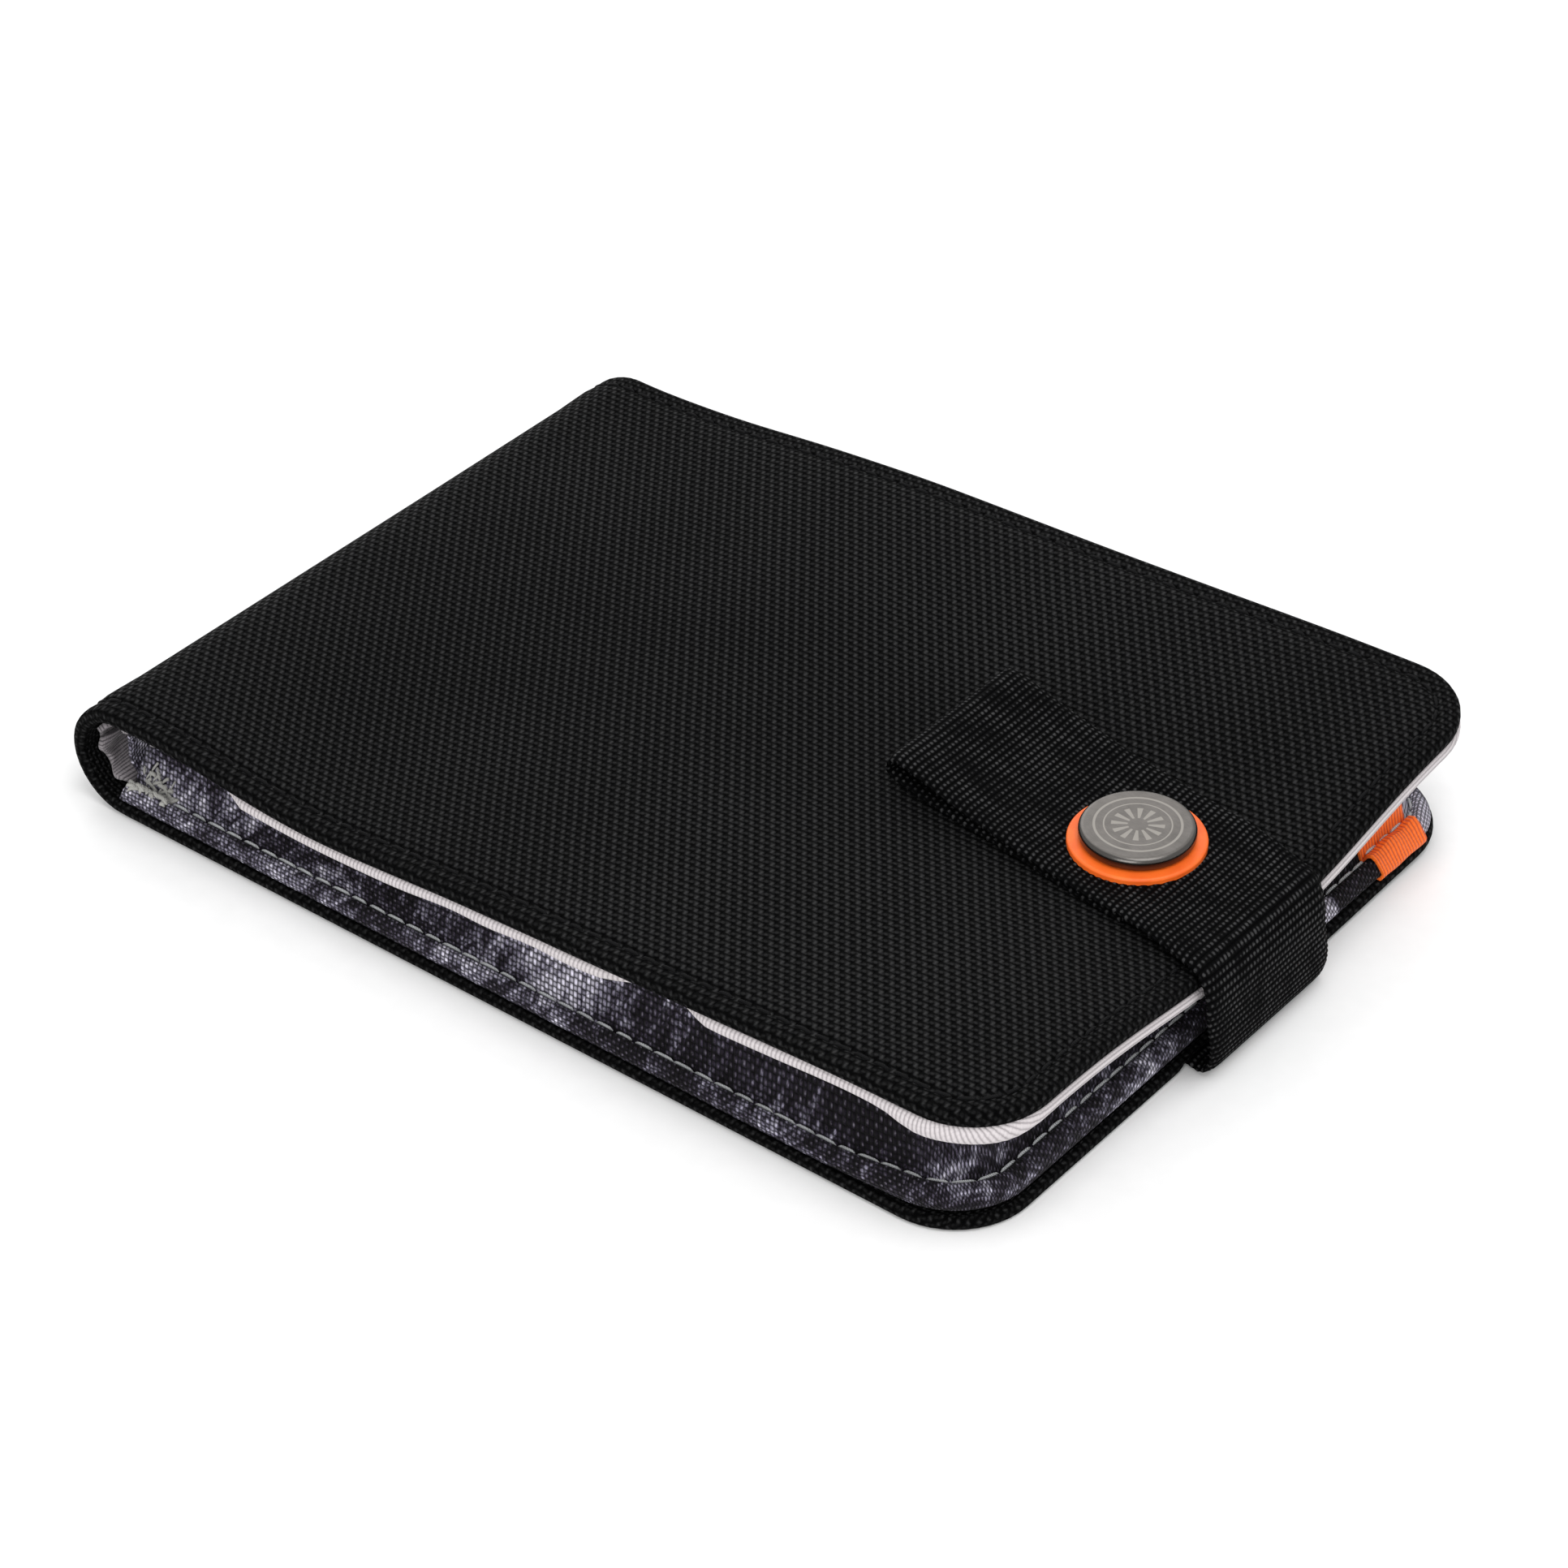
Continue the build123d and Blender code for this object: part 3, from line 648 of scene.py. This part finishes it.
def satin_metal():
    """Dark brushed plating. The cap's face has two fine rings and a plain sunburst."""
    s = Shader("satin_metal", metallic=1.0, specular=0.5)
    coords = s.node("TexCoord").outputs["Object"]
    split = s.node("SeparateXYZ")
    s.put(split.inputs[0], coords)
    x = s.math("SUBTRACT", split.outputs[0], SNAP.x)
    y = s.math("SUBTRACT", split.outputs[1], SNAP.y)
    r = s.math("SQRT", s.math("ADD", s.times(x, x), s.times(y, y)))
    angle = s.math("ARCTAN2", y, x)

    def ring(radius, half):
        """A fine circle on the cap."""
        return s.remap(s.math("ABSOLUTE", s.math("SUBTRACT", r, radius)), half, half * 0.6)

    rays = s.remap(s.math("COSINE", s.times(angle, 12)), 0.1, 0.3)
    inner = s.times(s.remap(r, 3.35 * MM, 3.25 * MM), s.remap(r, 1.2 * MM, 1.3 * MM))
    burst = s.times(rays, inner)
    rings = s.math("MAXIMUM", ring(4.2 * MM, 0.12 * MM), ring(5.4 * MM, 0.2 * MM))
    etched = s.math("MAXIMUM", burst, rings)
    on_top = s.remap(split.outputs[2], CAP_TOP - 0.12 * MM, CAP_TOP - 0.04 * MM)
    etched = s.times(etched, on_top)
    brush = s.noise(900, 3, 0.6, vector=coords, stretch=(1, 14, 1))
    grain = s.noise(9000, 2, 0.6, vector=coords)
    mottle = s.noise(420, 3, 0.6, vector=coords)
    tone = s.math("MULTIPLY_ADD", brush, 0.5, s.times(mottle, 0.5))
    plain = s.ramp(tone, (0.3, (0.13, 0.122, 0.115)), (0.7, (0.215, 0.2, 0.187)))
    colour = s.mix(etched, plain, (0.35, 0.33, 0.305))
    rim = s.mix(on_top, (0.10, 0.095, 0.09), colour)
    rough = s.math("ADD", s.remap(on_top, 0, 1, 0.26, 0.44), s.times(etched, 0.12))
    bump = s.math("SUBTRACT", s.times(grain, 0.4), s.times(etched, 0.6))
    return s.finish(rim, bump, 0.03 * MM, 0.5, rough)


def rubber():
    """Satin orange moulding with a faint mould texture."""
    s = Shader("orange_rubber", roughness=0.45, specular=0.4)
    coords = s.node("TexCoord").outputs["Object"]
    grain = s.noise(3200, 3, 0.6, vector=coords)
    broad = s.noise(260, 3, 0.5, vector=coords)
    colour = s.ramp(broad, (0.3, (0.80, 0.11, 0.01)), (0.7, (0.93, 0.16, 0.016)))
    return s.finish(colour, grain, 0.03 * MM, 0.5, s.remap(grain, 0.3, 0.7, 0.38, 0.55))


RIB_PITCH = 1.0 * MM
RIB_H = 0.16 * MM
WEB_T = 1.05 * MM
CLOTH = cover_cloth()
PRINT = printed_twill()
GREY = ribbed("grey_lining", (0.28, 0.25, 0.26), (0.50, 0.47, 0.48), 0.5 * MM, 0.12 * MM, along=1)
# Painted shade: the spine's grey lining again, in darker colours than grey_lining for the shade in the
# spine's hollow
SHADED_TAPE = ribbed("shaded_lining_tape", (0.05, 0.045, 0.05), (0.22, 0.20, 0.212), 0.45 * MM, 0.1 * MM, mottle=0.6)
GREY_EDGE = ribbed("grey_edge", (0.36, 0.33, 0.34), (0.58, 0.54, 0.55), 0.6 * MM, 0.12 * MM)
ORANGE_TAPE = ribbed("orange_tape", (0.60, 0.06, 0.004), (1.0, 0.17, 0.012), 0.6 * MM, 0.16 * MM,
                     roughness=0.6, along=1)
WEB = webbing()
LIGHT_THREAD = thread("light_thread", (0.20, 0.21, 0.215), (0.66, 0.68, 0.69))
PALE_THREAD = thread("pale_thread", (0.12, 0.12, 0.112), (0.44, 0.435, 0.41))
DARK_THREAD = thread("dark_thread", (0.0006, 0.0006, 0.0007), (0.007, 0.007, 0.0075), 0.08)
METAL = satin_metal()
RUBBER = rubber()


def dress(obj, material):
    """Gives a piece its material."""
    obj.data.materials.clear()
    obj.data.materials.append(material)
    return obj


def with_top(obj):
    """A piece that runs round the spine's upper half onto the top cover."""
    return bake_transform(obj)


def with_bottom(obj):
    """A piece that runs round the spine's lower half onto the bottom cover."""
    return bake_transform(obj)


# Covers ----------------------------------------------------------------------------------

T, C = THICK / MM, COVER_T / MM
BASE_C = 1.95  # the bottom cover's cloth in mm, pressed a little thinner


def hem_profile(c):
    """A cover's turned edge, (inset, z) in mm from its inner face to its outer one."""
    return [(FULL, 0.0), (5.0, 0.0), (0.75, 0.0), (0.3, 0.12), (0.06, 0.5), (0.0, 1.0), (0.06, c - 0.6),
            (0.3, c - 0.2), (0.8, c - 0.05), (1.5, c), (2.3, c - 0.04), (2.75, c - 0.2), (3.05, c - 0.3),
            (3.4, c - 0.16), (3.9, c + 0.06), (5.0, c + 0.16), (7.0, c + 0.12), (9.0, c + 0.06), (FULL, c)]


top_profile = [(i, T - C + z) for i, z in hem_profile(C)]
bottom_profile = [(i, max(BASE_C - z, 0)) for i, z in hem_profile(BASE_C)][::-1]
top_cover = plate("top_cover_cloth", in_top, top_profile, X_MID, step=1.3 * MM)
bottom_cover = plate("bottom_cover_cloth", in_bottom, bottom_profile, X_MID, step=1.6 * MM, upside=False)
for obj, nodes in ((top_cover, ("top_shell", "top_hem", "top_stiffener", "top_lining")),
                   (bottom_cover, ("bottom_shell", "bottom_hem", "bottom_stiffener"))):
    dress(obj, CLOTH)
    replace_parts(obj, *nodes)
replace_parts(top_cover, "spine_shell")
with_top(top_cover)
with_bottom(bottom_cover)


def hem_route(inset, z, x_start):
    """A route round a cover's three free sides, at height z."""
    ring = outline(inset, x_start, X_OPEN, HALF_W, CORNER_R, 90, 60, 16)
    return np.column_stack([ring, np.full(len(ring), z)])


HEM_INSET = 3.05 * MM  # the groove of both covers' hems
TOP_HEM_Z = THICK - 0.22 * MM
BOTTOM_HEM_Z = 0.34 * MM


def under_bottom(x, y, z):
    """in_bottom turned over about the stitches' own height, so that they stand out downwards."""
    return in_bottom(x, y, 2 * BOTTOM_HEM_Z - z)


hem_stitch = (2.3 * MM, 2.9 * MM, 0.24 * MM, 0.1)  # length, pitch, radius, jitter
top_stitches = stitch_row("top_cover_stitches", in_top, hem_route(HEM_INSET, TOP_HEM_Z, X_MID),
                          *hem_stitch, 3)
bottom_stitches = stitch_row("bottom_cover_stitches", under_bottom,
                             hem_route(HEM_INSET, BOTTOM_HEM_Z, X_MID), *hem_stitch, 4)
for obj in (top_stitches, bottom_stitches):
    dress(obj, DARK_THREAD)
with_top(top_stitches)
with_bottom(bottom_stitches)

# Linings ---------------------------------------------------------------------------------

P = Z_PANEL / MM - 0.3  # the panel's lower face
panel_profile = [(FULL, P), (4.0, P), (1.0, P), (0.35, P + 0.12), (0.05, P + 0.4), (0.0, P + 0.9),
                 (0.2, P + 1.3), (0.8, P + 1.6), (4.0, P + 1.6), (FULL, P + 1.6)]
top_panel = plate("top_panel_lining", in_panel, panel_profile, X_COVER, margin=-0.1 * MM, upside=False)
dress(top_panel, GREY_EDGE)
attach(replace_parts(top_panel, "top_panel"), "top_cover")

slip_low, slip_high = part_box("top_slip_pocket")
S = P - 0.55  # the slip pocket's lower face
slip_profile = [(FULL, S), (1.0, S), (0.2, S + 0.1), (0.0, S + 0.35), (0.3, S + 0.6), (FULL, S + 0.6)]
slip = plate("top_slip_pocket_print", in_top, slip_profile, slip_low.x, margin=X_OPEN - slip_high.x,
             upside=False)
dress(slip, PRINT)
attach(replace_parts(slip, "top_slip_pocket"), "top_cover")

lining_profile = [(FULL, BASE_C - 0.1), (1.0, BASE_C - 0.1), (0.1, BASE_C), (0.0, BASE_C + 0.12),
                  (0.2, BASE_C + 0.22), (1.0, BASE_C + 0.26), (FULL, BASE_C + 0.26)]
lining = plate("bottom_lining_print", in_bottom, lining_profile, X_COVER, margin=4.2 * MM)
dress(lining, PRINT)
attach(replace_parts(lining, "bottom_lining"), "bottom_cover")


def spine_sheet(name, path, thickness, margin, crumple, material, slot):
    """Half of a crumpled sheet inside the spine. path is (x, z) in mm from the spine's middle
    onto a cover."""
    line = resample(spline(np.array(path) * MM), 0.4 * MM)
    lower = line[-1, 1] < NOSE_R
    out = 1 if lower else -1
    tangent = directions(line)
    s = travelled(line)
    y = np.linspace(-HALF_W + margin, HALF_W - margin, 161)
    gs, gy = np.meshgrid(s * out, y, indexing="ij")
    free = soft(line[:, :1], X_BEND + 2 * MM, X_BEND - 1 * MM)
    fold = np.sin(gs / (0.9 * MM) + 2.5 * np.sin(gy / (4 * MM)))
    fold = crumple * (fold + 0.7 * np.sin(gy / (1.7 * MM) + gs / (2 * MM))) * free
    gx = line[:, :1] - tangent[:, 1:] * fold * out
    gz = line[:, 1:] + tangent[:, :1] * fold * out
    if not lower:
        gz = gz + lift(gx, gy) * soft(gx, X_NOSE, X_NOSE + 9 * MM)
    ends = np.sign(gy) * soft(np.abs(gy), 45 * MM, 51 * MM)
    wave = gy + ends * crumple * 2.2 * np.sin(gs / (0.8 * MM))
    points = np.stack([gx, wave, gz], -1).reshape(-1, 3)
    flat = np.stack([gs, gy, np.zeros_like(gs)], -1).reshape(-1, 3)
    obj = make_object(name, points, grid_faces(len(s), len(y)), flat)
    solid = obj.modifiers.new("thickness", "SOLIDIFY")
    solid.thickness, solid.offset = thickness, 0
    dress(obj, material)
    return (with_bottom if lower else with_top)(obj)


M = NOSE_R / MM
LINER = ((-71.7, M), (-71.9, M + 1.6), (-71.0, M + 3.4), (-69.2, M + 4.4), (-66.0, M + 5.0),
         (-60.0, M + 5.1))
LINER_LOW = ((-71.3, M + 1.8), (-71.4, M), (-71.1, M - 1.4), (-69.6, M - 2.4), (-68.0, M - 3.2),
             (-66.3, M - 4.4), (-62.0, M - 5.0))
WALL = ((-67.9, M), (-67.9, M + 1.6), (-67.2, M + 3.2), (-65.4, M + 4.0), (-59.0, M + 4.3))
WALL_LOW = ((-67.6, M + 1.6), (-67.6, M), (-67.6, M - 1.6), (-66.8, M - 2.6), (-65.0, M - 3.0),
            (-59.5, M - 3.2))
# The spine's lining is the grey lining, drawn with its darker painted-shade copy
liner_look = (0.75 * MM, 2.0 * MM, 0.34 * MM, SHADED_TAPE, "grey_lining")
wall_look = (0.45 * MM, 3.4 * MM, 0.12 * MM, PRINT, "printed_lining")
spine_sheet("spine_lining_upper", LINER, *liner_look)
spine_sheet("spine_inner_wall_upper", WALL, *wall_look)
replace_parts(spine_sheet("spine_lining_lower", LINER_LOW, *liner_look), "spine_lining")
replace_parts(spine_sheet("spine_inner_wall_lower", WALL_LOW, *wall_look), "spine_inner_wall")

# Pouch -----------------------------------------------------------------------------------

B = Z_POUCH / MM
# The pouch's section, (inset, z) in mm: foot, rolled rim, seam's groove, sloping side and crown
POUCH = ((FULL, B + 0.1), (5.0, B + 0.1), (2.0, B - 0.15), (1.1, B - 0.1), (0.55, B + 0.35),
         (0.4, B + 1.0), (0.6, B + 1.75), (1.05, B + 2.45), (1.7, B + 2.9), (2.3, B + 2.95),
         (2.75, B + 2.55), (3.05, B + 2.15), (3.35, B + 2.45), (3.75, B + 3.15), (4.3, B + 4.1),
         (5.1, B + 5.3), (6.0, B + 6.6), (6.9, B + 7.8), (7.8, B + 8.7), (8.6, B + 8.95),
         (9.4, B + 8.5), (10.2, B + 7.6), (FULL, B + 7.2))
POUCH_TOP = (B + 7.2) * MM
STITCH_INSET = 3.05 * MM
pouch = plate("passport_pouch", in_pouch, POUCH, X_COVER, step=1.7 * MM)
dress(pouch, PRINT)
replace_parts(pouch, "pouch_base", "pouch_gussets", "pouch_top", "pouch_piping")


def puff(obj, frames=20, most=0.6 * MM):
    """Cloth simulation: the pouch's top fills a little while its sewn rim is pinned."""
    mesh = obj.data
    rest = np.array([v.co for v in mesh.vertices])
    pinned = obj.vertex_groups.new(name="rim")
    inset = np.zeros(len(rest), np.float32)
    mesh.attributes["Inset"].data.foreach_get("value", inset)
    free = soft(inset, 9.2 * MM, CORNER_R) * (rest[:, 2] > Z_POUCH + 3 * MM)
    for i, f in enumerate(free):
        pinned.add([i], float(1 - f), "REPLACE")
    cloth = obj.modifiers.new("cloth", "CLOTH")
    cloth.settings.vertex_group_mass = "rim"
    cloth.settings.use_pressure = True
    cloth.settings.uniform_pressure_force = 4
    cloth.settings.effector_weights.gravity = 0
    cloth.settings.tension_stiffness = 25
    cloth.settings.bending_stiffness = 1.2
    cloth.collision_settings.use_collision = False
    scene = bpy.context.scene
    for number in range(1, frames + 1):
        scene.frame_set(number)
    shaped = obj.evaluated_get(bpy.context.evaluated_depsgraph_get()).data
    moved = np.array([v.co for v in shaped.vertices]) - rest
    scene.frame_set(1)
    obj.modifiers.remove(cloth)
    obj.vertex_groups.clear()
    far = np.linalg.norm(moved, axis=1)
    moved *= (np.minimum(far, most) / np.maximum(far, 1e-9))[:, None]
    mesh.vertices.foreach_set("co", (rest + moved).astype(np.float32).ravel())
    mesh.update()


puff(pouch)
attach(pouch, "bottom_cover")

seam = stitch_row("pouch_stitches", in_pouch, hem_route(STITCH_INSET, Z_POUCH + 2.5 * MM, X_COVER + 1 * MM),
                  2.75 * MM, 3.1 * MM, 0.21 * MM, 0.14, 7)
dress(seam, LIGHT_THREAD)
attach(seam, "bottom_cover")


for level, node in enumerate(("card_pocket_lower", "card_pocket_middle", "card_pocket_upper")):
    low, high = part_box(node)
    foot = POUCH_TOP / MM + 0.3 + 0.46 * level
    top = foot + 0.45
    section = [(FULL, foot), (1.0, foot), (0.2, foot + 0.08), (0.0, foot + 0.25), (0.3, foot + 0.42),
               (1.0, top), (FULL, top)]
    pocket = plate(node + "_print", in_pouch, section, low.x, margin=X_OPEN - high.x)
    dress(pocket, GREY if level == 1 else PRINT)
    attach(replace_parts(pocket, node), "bottom_cover")
    mouth = np.column_stack([np.full(40, low.x + 1.8 * MM), np.linspace(low.y, high.y, 42)[1:-1],
                             np.full(40, (top + 0.02) * MM)])
    row = stitch_row(node + "_stitches", in_pouch, mouth, 2.4 * MM, 3.0 * MM, 0.17 * MM, 0.1, 11 + level)
    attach(dress(row, LIGHT_THREAD), "bottom_cover")


def ribbon():
    """Orange ribbon that lies on the pouch's outside, from below its rim up to its crown."""
    outside = [(i, z) for i, z in POUCH if i < 7.0][1:]
    line = resample(spline(np.array(outside) * MM, 6), 0.5 * MM)
    tangent = directions(line)
    normal = np.stack([-tangent[:, 1], tangent[:, 0]], 1)
    line = line + normal * 0.34 * MM
    line[:, 1] += 0.3 * MM * soft(line[:, 1], 8 * MM, 11 * MM)
    y = np.linspace(RIBBON_LOW.y, RIBBON_HIGH.y, 15)
    s = travelled(line)
    gi, gy = np.meshgrid(line[:, 0], y, indexing="ij")
    gz, gs = np.repeat(line[:, 1:], len(y), 1), np.repeat(s[:, None], len(y), 1)
    gy = gy + 0.35 * MM * np.sin(gs / (2.2 * MM))
    gz = gz + 0.1 * MM * np.sin(gy / (0.9 * MM) + gs / (1.5 * MM))
    placed = in_pouch(X_OPEN - gi.ravel(), gy.ravel(), gz.ravel())
    flat = np.stack([gs, gy, gz], -1).reshape(-1, 3)
    faces = [face[::-1] for face in grid_faces(len(line), len(y))]
    obj = make_object("orange_ribbon", placed, faces, flat)
    solid = obj.modifiers.new("thickness", "SOLIDIFY")
    solid.thickness, solid.offset = 0.45 * MM, 0
    bevel = obj.modifiers.new("soft edge", "BEVEL")
    bevel.width, bevel.segments, bevel.limit_method = 0.12 * MM, 2, "ANGLE"
    dress(obj, ORANGE_TAPE)
    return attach(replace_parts(obj, "ribbon_tab"), "bottom_cover")


ribbon()
over_ribbon = np.column_stack([np.full(20, X_OPEN - STITCH_INSET),
                               np.linspace(RIBBON_LOW.y, RIBBON_HIGH.y, 22)[1:-1],
                               np.full(20, Z_POUCH + 3.07 * MM)])
ribbon_seam = stitch_row("ribbon_stitches", in_pouch, over_ribbon, 2.4 * MM, 2.9 * MM, 0.21 * MM, 0.14, 8)
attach(dress(ribbon_seam, LIGHT_THREAD), "bottom_cover")


def bartack(name, side, seed):
    """Dense crossing stitches over the pouch's corner beside the spine."""
    rng = np.random.default_rng(seed)
    insets, heights = zip(*POUCH[5:])
    pieces = []
    for k in range(56):
        x = X_COVER + rng.uniform(0.6, 7.5) * MM
        inset = rng.uniform(1.6, 4.3) * MM
        turn = rng.normal(1.0 if k % 5 == 0 else 0.0, 0.35)
        reach = rng.uniform(0.5, 1.0) * MM
        steps = np.linspace(-1, 1, 8)
        away = inset + steps * reach * math.sin(turn)
        z = (np.interp(away / MM, insets, heights) + 0.12 + 0.3 * rng.random()) * MM
        route = np.column_stack([x + steps * reach * math.cos(turn), side * (HALF_W - away), z])
        size = (1.7 * reach, 1.75 * reach, 0.3 * MM)
        pieces.append(stitch_row(f"{name}_{k}", in_pouch, route, *size, 0.4, k))
    bpy.ops.object.select_all(action="DESELECT")
    for piece in pieces:
        piece.select_set(True)
    bpy.context.view_layer.objects.active = pieces[0]
    bpy.ops.object.join()
    pieces[0].name = name
    dress(pieces[0], PALE_THREAD)
    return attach(pieces[0], "bottom_cover")


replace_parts(bartack("front_bartack", -1, 20), "bartacks")
bartack("back_bartack", 1, 21)

# Strap -----------------------------------------------------------------------------------

BULGE_X = STRAP_HIGH.x + 0.35 * MM
Z_ON_TOP = STRAP_TOP - WEBBING_T / 2


def over_cover(x, z_extra):
    """Height of the cover's face along the strap's middle, plus z_extra."""
    x = np.asarray(x, float)
    y = strap_y(x, np.full_like(x, THICK))
    return THICK + lift(x, y) + z_extra


riser_mid = (BULGE_X, 0.55 * STRAP_TOP)
Z_SEWN = 0.64 * MM
lower_path = spline([(X_OPEN - 20 * MM, Z_SEWN), (X_OPEN - 8 * MM, Z_SEWN), (X_OPEN - 0.5 * MM, Z_SEWN),
                     (X_OPEN + 2.2 * MM, 0.95 * MM), (BULGE_X - 0.8 * MM, 2.9 * MM),
                     (BULGE_X - 0.1 * MM, 6.2 * MM), riser_mid])
bend = [riser_mid, (BULGE_X, STRAP_TOP - 4.6 * MM), (BULGE_X - 0.8 * MM, STRAP_TOP - 2.1 * MM),
        (X_OPEN + 2.0 * MM, Z_ON_TOP + 0.05 * MM)]
flat_run = [(x * MM, Z_ON_TOP) for x in (68, 62, 54, 46)]
end_run = [(x * MM, float(over_cover(x * MM, e * MM))) for x, e in ((38, 2.0), (31, 2.7), (26, 3.5))]
fold_x = TAB_END_X + 0.2 * MM
fold_z = float(over_cover(fold_x, 0))
fold = [(fold_x + 1.5 * MM, fold_z + 3.9 * MM), (fold_x + 0.1 * MM, fold_z + 2.8 * MM),
        (fold_x + 0.7 * MM, fold_z + 1.35 * MM)]
under = [(x * MM, float(over_cover(x * MM, 0.7 * MM))) for x in (27, 33, 40, 50, 60)]
upper_path = spline(bend + flat_run + end_run + fold + under)


def side_lean(x, y):
    """Off the middle, the tab follows the cover's own rise and fall."""
    middle = strap_y(x, np.full_like(x, THICK))
    here = lift(x, y) - lift(x, middle)
    off_snap = soft(np.hypot(x - SNAP.x, y - SNAP.y), 9 * MM, 15 * MM)
    return 0.8 * here * off_snap * soft(x, X_OPEN + 2 * MM, X_OPEN - 4 * MM)


lower_strap, run = strap_band("strap_lower", lower_path)
upper_strap, total = strap_band("strap_upper", upper_path, start=run, lean=side_lean)
for obj in (lower_strap, upper_strap):
    dress(obj, WEB)
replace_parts(lower_strap, "strap_anchor", "strap_riser")
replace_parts(upper_strap, "strap_tab_upper", "strap_tab_lower", "strap_end_fold")
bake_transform(lower_strap)
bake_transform(upper_strap)

# Snap ------------------------------------------------------------------------------------

for node in ("snap_cap", "snap_socket", "snap_spring", "snap_stud", "stud_rivet", "snap_ring"):
    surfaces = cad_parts[node].data.materials
    surfaces.clear()
    surfaces.append(RUBBER if node == "snap_ring" else METAL)

# Stage, light and camera -----------------------------------------------------------------


def stage():
    """A plain pale floor of matt paper."""
    s = Shader("floor", roughness=0.9, specular=0.1)
    paper = s.noise(300, 2, 0.5, vector=s.node("TexCoord").outputs["Object"])
    tone = s.ramp(paper, (0, (0.86, 0.86, 0.86)), (1, (0.9, 0.9, 0.9)))
    material = s.finish(tone, paper, 0.05 * MM, 0.1)
    bpy.ops.mesh.primitive_plane_add(size=6, location=(0, 0, 0))
    floor = bpy.context.object
    floor.name = "floor"
    floor.data.materials.append(material)
    floor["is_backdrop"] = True


def area_light(name, location, size, power):
    """A square soft light, aimed at the origin."""
    light = bpy.data.lights.new(name, "AREA")
    light.shape, light.size, light.energy = "SQUARE", size, power
    obj = bpy.data.objects.new(name, light)
    obj.location = location
    obj.rotation_euler = (-Vector(location)).to_track_quat("-Z", "Y").to_euler()
    bpy.context.scene.collection.objects.link(obj)


def lights():
    """Soft studio light, with the plain view transform, which keeps black black and orange bright."""
    bpy.context.scene.view_settings.view_transform = "Standard"
    world = bpy.data.worlds.new("studio")
    bpy.context.scene.world = world
    world.use_nodes = True
    world.node_tree.nodes["Background"].inputs["Color"].default_value = (1, 1, 1, 1)
    world.node_tree.nodes["Background"].inputs["Strength"].default_value = 0.8
    area_light("back", (-0.75, 0.6, 0.6), 0.8, 2.5)
    area_light("front", (0.3, -0.8, 0.35), 0.5, 3)
    area_light("top", (0.3, -0.1, 0.9), 0.6, 4)


def camera():
    """The photograph's viewing angle: long lens, from the front right, well above."""
    azimuth, elevation, roll = math.radians(38.93), math.radians(36.61), math.radians(-0.56)
    distance = 0.6332
    target = Vector((-3.52, 5.44, 0)) * MM
    level = math.cos(elevation)
    back = Vector((math.sin(azimuth) * level, -math.cos(azimuth) * level, math.sin(elevation)))
    data = bpy.data.cameras.new("camera")
    data.lens, data.sensor_width, data.clip_start = 111.2, 36, 0.01
    obj = bpy.data.objects.new("camera", data)
    turn = (-back).to_track_quat("-Z", "Y").to_matrix() @ Matrix.Rotation(roll, 3, "Z")
    obj.matrix_world = Matrix.Translation(target + back * distance) @ turn.to_4x4()
    bpy.context.scene.collection.objects.link(obj)
    bpy.context.scene.camera = obj


stage()
lights()
camera()

low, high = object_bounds()
